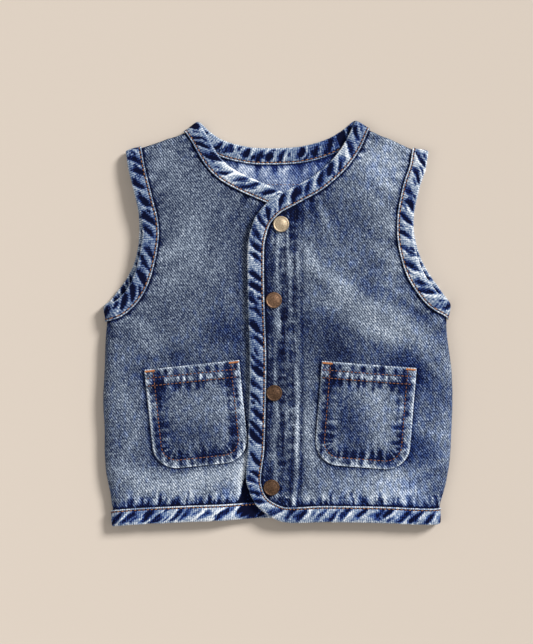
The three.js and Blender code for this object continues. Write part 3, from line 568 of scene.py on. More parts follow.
DENIM_STOPS = [
    (0.0, (7, 11, 34)), (0.17, (21, 31, 62)), (0.3, (45, 56, 84)), (0.42, (70, 81, 99)),
    (0.58, (108, 118, 132)), (0.78, (155, 168, 187)), (1.0, (222, 229, 236))]
TAPE_STOPS = [
    (0.0, (7, 11, 36)), (0.2, (24, 37, 80)), (0.34, (50, 68, 112)), (0.5, (86, 105, 136)),
    (0.66, (126, 141, 162)), (0.82, (168, 178, 192)), (1.0, (230, 234, 238))]
REVERSE_STOPS = [
    (0.0, (14, 25, 70)), (0.3, (56, 72, 112)), (0.55, (108, 124, 158)),
    (0.8, (168, 181, 204)), (1.0, (222, 228, 238))]
TWILL_PITCH = 1.85  # between the twill lines that show, real ones being finer


def bluer(stops, amount):
    """The same ramp with more blue and a little less red, but for the darkest stop."""
    return [(place, (r - 0.4 * amount * min(1, 4 * place), g, b + amount * min(1, 4 * place)))
            for place, (r, g, b) in stops]


# Noises of the denim: repeats per metre across and along the cloth, detail and share
GRAIN = {"warp": ((560, 90, 1), 3.0, 0.38), "dots": ((760, 600, 1), 1.0, 0.95),
         "flecks": ((360, 250, 1), 2.0, 0.4275), "clouds": ((34, 24, 1), 3.0, 0.2)}
WAVER, WAVER_TURN = (700, 420, 1), 4.0  # noise that bends the twill lines, and by how much
DYE_PATCHES, DYE_UNEVEN, DYE_PLAIN, DYE_WORN = (260, 120, 1), 2.2, 0.02, -0.5
BUMP_STRENGTH, BUMP_DEEP, BUMP_DOTS, BUMP_TWILL = 0.6, 0.15, 1.2, 0.4


def denim(name, stops, middle=0.42, twill=0.19, wear_and_shade=0.34, turn=52, indigo=27):
    """Stonewashed twill: paleness from fading and from painted light and shade, and tint, are
    stored on the cloth, uv is metres of cloth.
    """
    material = bpy.data.materials.new(name)
    tree, shader = shader_nodes(material)
    g = Graph(tree)
    uv = g.node("ShaderNodeUVMap", uv_map="cloth").outputs["UV"]
    worn_and_shaded = g.attribute("wear_and_shade")
    rate = 2 * math.pi / (TWILL_PITCH * MM)
    lines = g.dot(uv, (rate * math.sin(math.radians(turn)), rate * math.cos(math.radians(turn)), 0))
    lines = g.math("MULTIPLY_ADD", g.speckle(uv, WAVER, 1.0), WAVER_TURN, lines)
    twill_wave = g.math("SINE", lines)
    value = g.math("MULTIPLY_ADD", worn_and_shaded, wear_and_shade, middle)
    value = g.math("MULTIPLY_ADD", twill_wave, twill, value)
    parts = {}
    for key, (scale, detail, share) in GRAIN.items():
        parts[key] = g.speckle(uv, scale, detail)
        value = g.math("MULTIPLY_ADD", parts[key], share, value)
    unwashed = g.math("MULTIPLY_ADD", g.speckle(uv, DYE_PATCHES, 3.0), DYE_UNEVEN, DYE_PLAIN)
    unwashed = g.math("MULTIPLY_ADD", worn_and_shaded, DYE_WORN, unwashed)
    unwashed = g.math("ADD", unwashed, g.attribute("tint"))
    colour = g.mixed(unwashed, g.ramp(value, stops), g.ramp(value, bluer(stops, indigo)))
    tree.links.new(colour, shader.inputs["Base Color"])
    bump = g.node("ShaderNodeBump")
    bump.inputs["Strength"].default_value = BUMP_STRENGTH
    bump.inputs["Distance"].default_value = BUMP_DEEP * MM
    height = g.math("MULTIPLY", twill_wave, BUMP_TWILL)
    height = g.math("MULTIPLY_ADD", parts["dots"], BUMP_DOTS, height)
    tree.links.new(height, bump.inputs["Height"])
    tree.links.new(bump.outputs["Normal"], shader.inputs["Normal"])
    shader.inputs["Roughness"].default_value = 0.9
    shader.inputs["Specular IOR Level"].default_value = 0.06
    return material


def mottled(name, dark, light, grain, roughness, metallic=0.0):
    """Colour mottled between two: rubbed brass, or thread that took the wash unevenly."""
    material = bpy.data.materials.new(name)
    tree, shader = shader_nodes(material)
    g = Graph(tree)
    place = g.node("ShaderNodeTexCoord").outputs["Object"]
    value = g.math("ADD", g.speckle(place, (grain, grain, grain), 4.0), 0.5)
    tree.links.new(g.ramp(value, [(0.25, dark), (0.75, light)]), shader.inputs["Base Color"])
    shader.inputs["Metallic"].default_value = metallic
    shader.inputs["Roughness"].default_value = roughness
    return material


def antique_brass(name, dark, light):
    return mottled(name, dark, light, 900, 0.5, 0.8)


def thread(name, dark, light):
    return mottled(name, dark, light, 520, 0.78)


MATERIALS = {
    "body": denim("denim_body", DENIM_STOPS),
    "pocket": denim("denim_pocket", DENIM_STOPS, wear_and_shade=0.36),
    "tape": denim("denim_tape", TAPE_STOPS, middle=0.44, twill=0.12, wear_and_shade=0.46, turn=8, indigo=20),
    "reverse": denim("denim_reverse", REVERSE_STOPS, middle=0.5, wear_and_shade=0.4),
    "thread": thread("thread_tan", (96, 62, 40), (170, 120, 82)),
    "thread_pocket": thread("thread_brown", (76, 46, 34), (156, 102, 66)),
    "thread_bright": thread("thread_orange", (150, 86, 46), (206, 138, 84)),
    "thread_dark": thread("thread_navy", (16, 20, 42), (40, 48, 76)),
    # Paler and darker copies of the same brass, for a painted highlight and painted shade on the
    # snaps
    "brass": antique_brass("brass_antique", (62, 44, 34), (154, 120, 94)),
    "brass_painted_shade": antique_brass("brass_painted_shade", (42, 30, 22), (120, 90, 68)),
    "brass_pale": antique_brass("brass_painted_light", (150, 130, 104), (214, 196, 168)),
}


def build_mesh(name, points, faces, materials, uv=None, wear_and_shade=None, face_material=None):
    """Mesh object from points in CAD millimetres, shaded smooth; cloth comes with uv, and with
    paleness from fading and from painted light and shade.
    """
    mesh = bpy.data.meshes.new(name)
    places = np.asarray(points).reshape(-1, 3)
    mesh.from_pydata(((places - MIDDLE) * MM).tolist(), [], faces)
    for material in materials:
        mesh.materials.append(MATERIALS[material])
    if face_material is not None:
        mesh.polygons.foreach_set("material_index", np.asarray(face_material, np.int32))
    if uv is not None:
        corner = np.empty(len(mesh.loops), np.int32)
        mesh.loops.foreach_get("vertex_index", corner)
        layer = mesh.uv_layers.new(name="cloth")
        layer.data.foreach_set("uv", (uv.reshape(-1, 2) * MM)[corner].ravel().astype(np.float32))
        tint = round_patches(TINT, places[:, 0], places[:, 1])
        for key, value in (("wear_and_shade", wear_and_shade), ("tint", tint)):
            made = mesh.attributes.new(key, "FLOAT", "POINT")
            made.data.foreach_set("value", value.ravel().astype(np.float32))
    mesh.shade_smooth()
    thing = bpy.data.objects.new(name, mesh)
    bpy.context.collection.objects.link(thing)
    return thing


def grid_faces(rows, columns, wrap=False, offset=0):
    index = np.arange(rows * columns).reshape(rows, columns) + offset
    if wrap:
        index = np.concatenate([index, index[:, :1]], axis=1)
    return np.stack([index[:-1, :-1], index[:-1, 1:], index[1:, 1:], index[1:, :-1]],
                    axis=-1).reshape(-1, 4)


def wall(name, outer, inner, uv, wear_and_shade, materials, reverse_wear_and_shade=None):
    """Closed thin wall between two grids; the second material is on its reverse."""
    reverse_wear_and_shade = wear_and_shade if reverse_wear_and_shade is None else reverse_wear_and_shade
    rows, columns = outer.shape[:2]
    size = rows * columns
    face = grid_faces(rows, columns)
    back = grid_faces(rows, columns, offset=size)[:, ::-1]
    index = np.arange(size).reshape(rows, columns)
    rim = np.concatenate([index[0, :-1], index[:-1, -1], index[-1, :0:-1], index[:0:-1, 0]])
    after = np.roll(rim, -1)
    edge = np.stack([rim, rim + size, after + size, after], axis=-1)
    slots = np.concatenate([np.zeros(len(face)), np.ones(len(back) + len(edge))])
    return build_mesh(name, np.concatenate([outer.reshape(-1, 3), inner.reshape(-1, 3)]),
                      np.concatenate([face, back, edge]).tolist(), materials,
                      np.concatenate([uv.reshape(-1, 2)] * 2),
                      np.concatenate([wear_and_shade.ravel(), reverse_wear_and_shade.ravel()]), slots)


CURVE_STEP = 2.0
RUN_SHIFT = 200  # added to y where it is the run along a curve
SEAM_FOOT, SEAM_HEAD, SHOULDER_FROM, SHOULDER_TO = -172.0, 20.0, 72.0, 134.0
DISTANCE_BATCH = 4000  # places measured at once, to spare memory


def distance(p, q, curve):
    """Nearest run along a curve and the distance to it, for every place."""
    shape = p.shape
    p, q = p.ravel(), q.ravel()
    cp, cq, run = curve
    near, far = np.empty(p.size), np.empty(p.size)
    for start in range(0, p.size, DISTANCE_BATCH):
        part = slice(start, start + DISTANCE_BATCH)
        gap = np.hypot(p[part, None] - cp, q[part, None] - cq)
        best = gap.argmin(axis=1)
        near[part], far[part] = run[best], gap[np.arange(len(best)), best]
    return near.reshape(shape), far.reshape(shape)


def pick(seed, key, low_high):
    """A fixed value in a range for each whole-number cell."""
    return mix(*low_high, 0.5 + 0.5 * scatter(seed, key))


def blobs(seed, lane, across, wide, long, middle=(0, 0)):
    """Blotches 0 to 1, one in each whole step of the lane, uneven in place, size and
    strength; wide is in lanes, long and middle in the units of across."""
    lane, across = np.broadcast_arrays(lane, across)
    total = np.zeros(lane.shape)
    for step in (-1, 0, 1):
        key = np.floor(lane) + step
        off = (lane - key - pick(seed, key, (0.2, 0.8))) / pick(seed + 1, key, wide)
        gap = off**2 + ((across - pick(seed + 3, key, middle)) / pick(seed + 2, key, long)) ** 2
        total = np.maximum(total, pick(seed + 4, key, (0.4, 1.0)) * smooth(1.8, 0.2, gap))
    return total


def puckers(seed, s, w, pitch, reach, slant=0.25):
    """Short puckers that leave a seam and die out into the cloth, -1 to 1."""
    lane = (s + slant * w + 1.5 * noise(seed + 3, s / 23)) / pitch
    coarse = noise(seed, lane, w / (2.6 * pitch) + 5 * noise(seed + 1, s / 40))
    fine = noise(seed + 2, lane * 2.1, w / (1.8 * pitch))
    strength = 0.75 + 0.35 * noise(seed + 5, s / 37)
    wave = np.clip(1.15 * coarse + 0.55 * fine * np.exp(-w / (0.35 * reach)), -1, 1)
    return wave * np.exp(-w / reach) * strength


def edge_curve(edge):
    s = np.arange(0, edge.length + CURVE_STEP, CURVE_STEP).clip(max=edge.length)
    p, q = edge.place(s)
    return p, q, s


def seam_curves(layer_name):
    """Side and shoulder seams of a layer as curves on the flattened cloth."""
    layer = LAYERS[layer_name]
    curves = []
    for side in {"left": (-1,), "right": (1,), "back": (-1, 1)}[layer_name]:
        q = np.arange(SEAM_FOOT, SEAM_HEAD, CURVE_STEP)
        curves.append((side_seam(layer, q, side), q, q + RUN_SHIFT))
        p = side * np.arange(SHOULDER_FROM, SHOULDER_TO, CURVE_STEP)
        curves.append((p, shoulder_seam(layer, p), np.abs(p)))
    return curves


def pocket_outline(pocket, inset=0.0, step=1.0):
    """The pocket's sides and bottom, from its top left corner round to its top right."""
    half, height = pocket["width"] / 2 - inset, pocket["height"] - inset
    corner = POCKET_CORNER - inset
    pieces = [(-half, 0.0), (-half, height - corner)]
    for angle in np.radians(np.arange(10, 90, 10)):
        pieces.append((-half + corner * (1 - math.cos(angle)),
                       height - corner + corner * math.sin(angle)))
    pieces.append((-half + corner, height))
    pieces += [(-x, down) for x, down in reversed(pieces)]
    across, down = np.array(pieces).T
    run = np.concatenate([[0], np.cumsum(np.hypot(np.diff(across), np.diff(down)))])
    s = np.arange(0, run[-1], step)
    return np.interp(s, run, across), np.interp(s, run, down), s


def pocket_place(pocket, across, down):
    """Place in plan of a point of the pocket, measured across its middle and down its top."""
    c, s = math.cos(math.radians(pocket["turn"])), math.sin(math.radians(pocket["turn"]))
    up = pocket["height"] / 2 - down
    return pocket["x"] + across * c - up * s, pocket["y"] + across * s + up * c


# Bound edges of each panel, and how dark the cloth is worn beside them
PANEL_EDGES = {
    "left": {"left": 0.4, "arm_left_front": 0.4},
    "right": {"right": 0.4, "arm_right_front": 0.1},
    "back": {"back_neck": 0.4, "back_hem": 0.4, "arm_left_back": 0.4, "arm_right_back": 0.4},
}
PUCKER_HIGH = 0.5
# How much paler a panel is worn for what stands up on it, and the bounds of its paleness with the
# painted light and shade added
PANEL_WORN = {"wave": 0.6, "creases": 0.8, "folds": 0.16}
PANEL_WORN_AND_SHADED_LEAST, PANEL_WORN_AND_SHADED_MOST = -1.8, 1.4
# Pitch along a seam and reach into the cloth of the puckers beside it
EDGE_SHORT, EDGE_LONG = (5.2, 11), (11, 24)
SEAM_PUCKERS, POCKET_PUCKERS, PLACKET_PUCKERS = (7, 10), (6.5, 8), (6.5, 6)
# The painted shadow line and the dark blotches round a pocket
BESIDE_PITCH, BESIDE_BLOTS, BESIDE_DARK, BESIDE_REACH = 8, ((0.2, 0.4), (2, 7)), 1.2, 1.9
TICK_PITCH = 6.4  # of the dark ticks that the wash leaves beside a binding
TICK_SHORT = 0.45  # their length away from the hem, as a share of that at the hem
# Width in lanes, and length and middle in mm, of the dark ticks and the pale ones between
DARK_TICKS, PALE_TICKS = ((0.14, 0.3), (4, 13)), ((0.14, 0.26), (4, 12), (2, 6))
TICKS_HIGH, TICKS_WORN = {"pale": 0.5, "dark": -0.8}, {"pale": 0.6, "dark": -1.7}
HEM_FROM, HEM_FULL = -120, -150  # the puckers grow from the one y to the other
CONTACT_REACH, CONTACT_DARK = 1.5, 2.0  # of the painted contact shadow, with the darker unfaded indigo, where one layer ends on another
DARK_REACH = 8.0


def beside_edge(seed, hem, s, beyond, dark_edge):
    """Puckers, dark ticks with pale ones between them, and the painted contact shadow with darker
    unfaded indigo at a binding.
    """
    tall = mix(TICK_SHORT, 1.0, hem)
    lane = (s + 0.2 * beyond + 2.5 * noise(seed + 7, s / 31)) / TICK_PITCH
    dark = blobs(seed + 300, lane, beyond / tall, *DARK_TICKS)
    pale = blobs(seed + 320, lane + 0.5, beyond / tall, *PALE_TICKS)
    share = mix(0.45 + 0.3 * noise(seed + 9, s / 47), 1.0, hem)
    wave = puckers(seed, s, beyond, *EDGE_SHORT)
    wave += 0.5 * puckers(seed + 5, s, beyond, *EDGE_LONG, slant=0.5)
    wave += weighed(TICKS_HIGH, pale=pale, dark=dark) * share
    shade = weighed(TICKS_WORN, pale=pale, dark=dark) * share
    # Painted contact shadow, with the darker unfaded indigo, beside the binding
    shade -= CONTACT_DARK * bell(beyond, CONTACT_REACH)
    return wave, shade - dark_edge * np.exp(-beyond / DARK_REACH)


PLACKET_PITCH = 7.5  # of the dark blotches along its first row
PLACKET_BLOTS = ((0.22, 0.42), (2.2, 4.2), (-2.4, -0.5))
BLOT_DARK = (0.9, 0.55)  # along the first row and the second
ROW_WIDE, RIDGE_WIDE, TROUGH_WIDE = 0.9, 2.1, 1.7
PLACKET_HIGH, PLACKET_WORN_AND_SHADED = {"ridge": 1.0, "trough": -1.5}, {"ridge": -0.4, "trough": 0.3}


def placket(x, y):
    """The over-lap's two sewn rows, and the ridge and trough beside the cloth folded under."""
    rows = {key: along(PLACKET_ROWS, "y", key) for key in ("first", "second", "ridge", "trough")}
    wave, shade = np.zeros(x.shape), np.zeros(x.shape)
    for number, key in enumerate(("first", "second")):
        gap = x - rows[key](y)
        off = np.abs(gap)
        lane = (y + RUN_SHIFT + 1.5 * noise(125 + number, y / 23)) / (PLACKET_PITCH + number)
        dark = blobs(131 + 10 * number, lane, gap, *PLACKET_BLOTS)
        wave += 0.5 * puckers(121 + 10 * number, y + RUN_SHIFT, off, *PLACKET_PUCKERS)
        wave -= 0.5 * dark + 0.35 * bell(off, ROW_WIDE)
        shade -= BLOT_DARK[number] * dark + 0.45 * bell(off, 1.1)
    # The ridge and the trough, stronger down the front; the trough gets painted shadow
    low = mix(0.3, 1.0, smooth(60, -70, y)) * (1 + 0.35 * noise(141, y / 14))
    sway = 0.7 * noise(142, y / 19)
    ridge = bell(x - rows["ridge"](y) - sway, RIDGE_WIDE)
    trough = bell(x - rows["trough"](y) - sway, TROUGH_WIDE)
    wave += low * weighed(PLACKET_HIGH, ridge=ridge, trough=trough)
    shade += low * weighed(PLACKET_WORN_AND_SHADED, ridge=ridge, trough=trough) + 0.1 * ridge - 0.25 * trough
    # Wash in long streaks, and a dark one down beside the snaps
    ends = smooth(112, 98, y) * smooth(-168, -152, y)
    streak = noise(143, x / 2.2, y / 26) * smooth(-26, -8, x) * smooth(24, 16, x) * ends
    shade += (0.8 * streak - 0.05) * smooth(21, 16, x)
    shade -= 0.6 * bell(x + 7.5, 3.5) * (1 + 0.6 * noise(144, y / 17))
    return wave * ends, shade * ends


LOOSE_FROM, LOOSE_FULL = -112, -130  # the fold grows from the one y to the other
LOOSE_HIGH, LOOSE_WIDE, LOOSE_SUNK = 1.6, 6, 4.0
LOOSE_CREST, LOOSE_GAP = 0.6, 2.6  # how pale its crest is, and how dark the painted shadow in the gap


def loose_fold(x, y):
    """The left front's loose fold beside the lap, and the painted shadow in the gap that it leaves.
    """
    past = x - gap_edge(y)
    low = smooth(LOOSE_FROM, LOOSE_FULL, y)
    rise = LOOSE_HIGH * np.where(past < 0, bell(past, LOOSE_WIDE), 1)
    wave = low * (rise - LOOSE_SUNK * smooth(-0.4, 1.4, past))
    shade = LOOSE_CREST * smooth(LOOSE_FROM + 8, LOOSE_FULL + 10, y) * bell(past + 1.2, 1.1)
    return wave, shade - LOOSE_GAP * low * smooth(-0.5, 0.8, past)


def relief(layer_name, p, q):
    """Height of the cloth over its form, and how pale it is there from fading and from painted
    light and shade: 0 is plain, 1 pale.
    """
    face = LAYERS[layer_name]["face"]
    x, y, _ = np.moveaxis(face_point(LAYERS[layer_name], p, q), -1, 0)
    cover = np.ones(p.shape)
    hem = smooth(HEM_FROM, HEM_FULL, y) if face > 0 else 1 - 0.4 * smooth(HEM_FULL, HEM_FROM, y)
    parts = []
    for number, (key, dark_edge) in enumerate(PANEL_EDGES[layer_name].items()):
        s, w = distance(p, q, edge_curve(EDGES[key]))
        free = w - TAPE_WIDTH * EDGES[key].broad(s)
        cover *= smooth(-1.6, 0.4, free)
        parts.append(beside_edge(11 + 10 * number, hem, s, np.maximum(free, 0), dark_edge))
    for number, curve in enumerate(seam_curves(layer_name)):
        s, w = distance(p, q, curve)
        parts.append((0.5 * puckers(61 + 10 * number, s, w, *SEAM_PUCKERS), 0))
    if layer_name in POCKETS:
        across, down, run = pocket_outline(POCKETS[layer_name], step=CURVE_STEP)
        s, w = distance(x, y, (*pocket_place(POCKETS[layer_name], across, down), run))
        dark = blobs(95, s / BESIDE_PITCH, w, *BESIDE_BLOTS)
        # Painted shadow of the pocket along its outline on the panel, with dark blotches
        shade = -BESIDE_DARK * np.exp(-w / BESIDE_REACH) - 0.35 * dark
        parts.append((0.45 * puckers(91, s, w, *POCKET_PUCKERS), shade))
    if layer_name == "right":
        parts.append(placket(x, y))
    if layer_name == "left":
        parts.append(loose_fold(x, y))
    wave, shade = (sum(column) for column in zip(*parts))
    creases = ridges(CREASES[layer_name], x, y)
    folds = ridges(FOLDS, x, y) if face > 0 else 0
    worn_and_shaded = weighed(PANEL_WORN, wave=wave, creases=creases, folds=folds) + shade
    worn_and_shaded = np.clip(worn_and_shaded + round_patches(SHADE_AND_WASH[layer_name], x, y), PANEL_WORN_AND_SHADED_LEAST, PANEL_WORN_AND_SHADED_MOST)
    return (PUCKER_HIGH * wave + creases) * cover, worn_and_shaded


def refined(marks, length, cell):
    """More marks between the given ones, about a cell apart on a piece of this length."""
    fine = []
    for low, high in zip(marks[:-1], marks[1:]):
        count = max(1, int(round((high - low) * length / cell)))
        fine += [low + (high - low) * i / count for i in range(count)]
    return np.array(fine + [marks[-1]])


def patch(bottom, top, start, end, us, vs):
    """Places of a panel between its four sides, each a function of 0 to 1."""
    bottoms, tops = np.array(bottom(us)), np.array(top(us))
    starts, ends = np.array(start(vs)), np.array(end(vs))
    u, v = us[None, :], vs[:, None]
    made = []
    for k in range(2):
        corners = ((1 - u) * (1 - v) * bottoms[k][0] + u * (1 - v) * bottoms[k][-1]
                   + (1 - u) * v * tops[k][0] + u * v * tops[k][-1])
        made.append((1 - v) * bottoms[k][None, :] + v * tops[k][None, :]
                    + (1 - u) * starts[k][:, None] + u * ends[k][:, None] - corners)
    return made


ARM_SHARE = 0.53  # of a panel's height, up to the armhole's foot
FRONT_WIDE, BACK_WIDE, PANEL_TALL = 170, 300, 365  # about, to set the fineness


def flank(layer, hem_place, arm, side):
    foot = arm.at(arm.length, TAPE_HOLD)

    def place(v):
        v = np.asarray(v, float)
        share = 1 - (np.maximum(v, ARM_SHARE) - ARM_SHARE) / (1 - ARM_SHARE)
        over_p, over_q = arm.at(arm.length * share, TAPE_HOLD)
        q = mix(hem_place[1], foot[1], np.minimum(v, ARM_SHARE) / ARM_SHARE)
        p = side_seam(layer, q, side) - side * SEAM
        return np.where(v > ARM_SHARE, over_p, p), np.where(v > ARM_SHARE, over_q, q)

    return place


def shoulder(layer, start, end):
    def place(u):
        p = mix(start[0], end[0], np.asarray(u, float))
        return p, shoulder_seam(layer, p) - SEAM

    return place


def panel(name, layer_name, sides, us, vs):
    """Panel between its four sides, and its places on the flattened cloth."""
    layer = LAYERS[layer_name]
    p, q = patch(*sides, us, vs)
    high, worn_and_shaded = relief(layer_name, p, q)
    if layer["face"] < 0:
        outs, inside_worn_and_shaded = (0, -CLOTH - high), worn_and_shaded + round_patches(NECK_SHADE_AND_WASH, p, q)
    else:
        outs, inside_worn_and_shaded = (high, -CLOTH + 0.5 * np.minimum(high, 0)), worn_and_shaded
    outer, inner = (cloth_point(layer, p, q, out) for out in outs)
    made = wall(name, outer, inner, np.stack([p, q], axis=-1), worn_and_shaded, ["body", "reverse"],
                inside_worn_and_shaded)
    return made, (p, q)


def front(side_name, arm_name, side):
    layer, edge, arm = LAYERS[side_name], EDGES[side_name], EDGES[arm_name]

    def bottom(u):
        return edge.at(mix(edge.length, edge.turn, np.asarray(u, float)), TAPE_HOLD)

    def middle(v):
        return edge.at(edge.turn * (1 - np.asarray(v, float)), TAPE_HOLD)

    start = flank(layer, bottom(0), arm, side)
    top = shoulder(layer, start(1), middle(1))
    us = refined([0, 0.1, 1], FRONT_WIDE, CELL_FRONT)
    vs = refined([0, ARM_SHARE, 0.95, 0.985, 1], PANEL_TALL, CELL_FRONT)
    return panel(f"{side_name}_front_cloth", side_name, (bottom, top, start, middle), us, vs)


NECK_SHARE = 0.24  # of the back's top, from each side to the neck


def back():
    layer = LAYERS["back"]
    neck, hem = EDGES["back_neck"], EDGES["back_hem"]

    def bottom(u):
        return hem.at(np.asarray(u, float) * hem.length, TAPE_HOLD)

    start = flank(layer, bottom(0), EDGES["arm_left_back"], -1)
    end = flank(layer, bottom(1), EDGES["arm_right_back"], 1)
    left = shoulder(layer, start(1), neck.at(0, TAPE_HOLD))
    right = shoulder(layer, neck.at(neck.length, TAPE_HOLD), end(1))

    def top(u):
        u = np.asarray(u, float)
        share = np.clip((u - NECK_SHARE) / (1 - 2 * NECK_SHARE), 0, 1)
        places = [left(np.minimum(u / NECK_SHARE, 1)), neck.at(neck.length * share, TAPE_HOLD),
                  right(np.maximum((u - 1 + NECK_SHARE) / NECK_SHARE, 0))]
        return tuple(np.where(u < NECK_SHARE, a, np.where(u > 1 - NECK_SHARE, c, b))
                     for a, b, c in zip(*places))

    us = np.concatenate([
        refined([0, 0.025], BACK_WIDE, CELL_BACK_RIM)[:-1],
        refined([0.025, NECK_SHARE, 1 - NECK_SHARE, 0.975], BACK_WIDE, CELL_BACK)[:-1],
        refined([0.975, 1], BACK_WIDE, CELL_BACK_RIM)])
    vs = np.concatenate([refined([0, ARM_SHARE, 0.97], PANEL_TALL, CELL_BACK)[:-1],
                         refined([0.97, 1], PANEL_TALL, CELL_BACK_RIM)])
    return panel("back_cloth", "back", (bottom, top, start, end), us, vs)


# Section of the folded binding on its face: inset as a share of its width, and height
# over the tape's clear distance; the last column is the share of the puckers
TAPE_FACE = named("share rise pucker", [
    [1.0, 0.0, 0], [1.003, 0.5, 0], [0.994, 0.98, 0.1], [0.974, 1.2, 0.15], [0.946, 1.2, 0.15],
    [0.926, 0.92, 0.05], [0.906, 0.6, 0.05], [0.862, 0.54, 0.15], [0.825, 0.72, 0.45],
    [0.77, 0.95, 0.8], [0.7, 1.1, 1], [0.62, 1.2, 1], [0.54, 1.26, 1], [0.46, 1.28, 1],
    [0.38, 1.28, 1], [0.3, 1.26, 1], [0.22, 1.2, 1], [0.15, 1.08, 0.9], [0.09, 0.88, 0.7],
    [0.045, 0.56, 0.5], [0.015, 0.1, 0.3], [0.0, -0.75, 0.2]])
STITCH_SHARE = 0.88
TAPE_PUCKER_HIGH = 0.55
# How each binding puckers: pitch along it, how far a pucker leans along it per way across,
# and how pale it is worn; the order is that of the pieces and their seeds
TAPE_STYLE = {
    "left": (13.0, -1.1, 0), "right": (12.5, 0.85, -0.13), "back_neck": (11.5, -0.35, 0),
    "back_hem": (13.0, 0.8, 0), "arm_left_front": (12.5, 0.8, -0.22),
    "arm_left_back": (12.5, 0.8, -0.1), "arm_right_front": (12.5, -0.8, 0),
    "arm_right_back": (12.5, -0.8, 0),
}
HEM_PALE = 0.15  # how much paler the fronts' binding is along the hem
TAPE_HEM_FROM, TAPE_HEM_FULL = -150, -165
# How much paler a binding is worn at each part of it, and how dark the painted shade in its hollows
TAPE_WORN = {"plain": 0.34, "crest": 0.6, "wave": 0.2, "lip": 0.3, "groove": -2.0, "rim": 0.35}
HOLLOW_DARK, HOLLOW_PALER = 1.8, 0.3  # the second along the hem
NECK_SHADE, NECK_FROM, NECK_TO = 0.7, 0.45, 0.85  # painted shade that darkens the back's binding along its run
LIP_SHARE, GROOVE_SHARE, RIM_SHARE = 0.92, 0.84, 0.05
RIM_BELL = 0.08
TAPE_EDGE_CALM = 10.0  # the puckers die out over this way to a binding's ends
TAPE_INSIDE = 1.7  # from the bound edge to the inside of the fold


def ropes(seed, lane, across, wide=(0.3, 0.5), long=(0.4, 0.75), middle=(0.25, 0.7)):
    """Puckers with one steep side, one in each whole step of the lane: the hollow, and the
    crest on its steep side, each 0 to 1."""
    lane, across = np.broadcast_arrays(lane, across)
    hollow, crest = np.zeros(lane.shape), np.zeros(lane.shape)
    for step in (-1, 0, 1):
        key = np.floor(lane) + step
        width = pick(seed + 1, key, wide)
        far = ((across - pick(seed + 3, key, middle)) / pick(seed + 2, key, long)) ** 2
        off = lane - key - pick(seed, key, (0.25, 0.75)) + pick(seed + 5, key, (-0.2, 0.2)) * far
        side = width * np.where(off > 0, 0.45, 1.3)
        dip = smooth(1.1, 0.15, np.abs(off) / side + far)
        hollow = np.maximum(hollow, pick(seed + 4, key, (0.6, 1.1)) * dip)
        ridge = smooth(1.0, 0.2, np.abs(off - 0.62 * width) / (0.42 * width) + 0.7 * far)
        crest = np.maximum(crest, pick(seed + 6, key, (0.3, 1.0)) * ridge)
    return hollow, crest


def tape_puckers(seed, s, w, width, style):
    """Ropy puckers of a bias binding: hollows and crests 0 to 1, and the height -1 to 1."""
    pitch, lean, _ = style
    share = w / width
    wander = 2.6 * noise(seed, s / 29) + 1.3 * noise(seed + 1, s / 8, w / 6)
    lane = (s - lean * w + wander) / pitch
    hollow, crest = ropes(seed + 2, lane, share)
    more, edge = ropes(seed + 12, 1.6 * lane, share, (0.2, 0.4), (0.14, 0.32), (0.1, 0.8))
    rough = noise(seed + 4, (s - lean * w) / 2.4, w / 3.5)
    hollow = np.maximum(hollow, 0.7 * more)
    crest = np.maximum(crest, 0.7 * edge) * (1 - hollow)
    wave = np.clip(0.3 + 0.5 * crest - 1.3 * hollow + 0.3 * rough, -1, 1)
    return np.clip(hollow - 0.25 * rough * (hollow > 0.05), 0, 1), crest, wave


def both_sides(column):
    """A column of the section's face, then the same back along its other side."""
    return np.concatenate([column, column[-2::-1]])


def section_caps(columns, half, rows):
    """Triangles that close both ends of a folded strip, between its outside and inside."""
    caps = []
    for start in (0, (rows - 1) * columns):
        near, far = start + columns - 1, start + columns - 2
        strips = [[start + k, start + k + 1, near if k < half - 1 else far]
                  for k in range(columns - 3)]
        strips.append([start + half - 1, far, near])
        caps += [strip[::-1] for strip in strips] if start else strips
    return caps


def tape_wear_and_shade(key, s, shares, hollow, crest, wave, skin):
    """How pale a binding is: faded on crests, lip and rim, darker in the stitch groove, with
    painted shade in the puckers' hollows and on the back's neck, and painted light and shade in
    patches.
    """
    lip = np.where(shares > LIP_SHARE, 1.0, 0.0)
    groove = np.where((shares > GROOVE_SHARE) & (shares < LIP_SHARE), 1.0, 0.0)
    rim = bell(shares, RIM_BELL)
    bottom = EDGES[key].place(s)[1]
    hem = smooth(TAPE_HEM_FROM, TAPE_HEM_FULL, bottom) if key in ("left", "right") else 0
    wear_and_shade = weighed(TAPE_WORN, plain=1, crest=crest, wave=wave, lip=lip, groove=groove, rim=rim)
    # Painted shade in the puckers' hollows
    dark = HOLLOW_DARK - HOLLOW_PALER * hem
    wear_and_shade = wear_and_shade - dark * hollow * (1 - lip) * (1 - 0.6 * rim)
    wear_and_shade = wear_and_shade + TAPE_STYLE[key][2] + HEM_PALE * hem
    wear_and_shade = wear_and_shade + round_patches(TAPE_SHADE_AND_WASH.get(key, []), skin[..., 0], skin[..., 1])
    if key == "back_neck":
        wear_and_shade = wear_and_shade - NECK_SHADE * smooth(NECK_FROM, NECK_TO, s / EDGES[key].length)
    return wear_and_shade


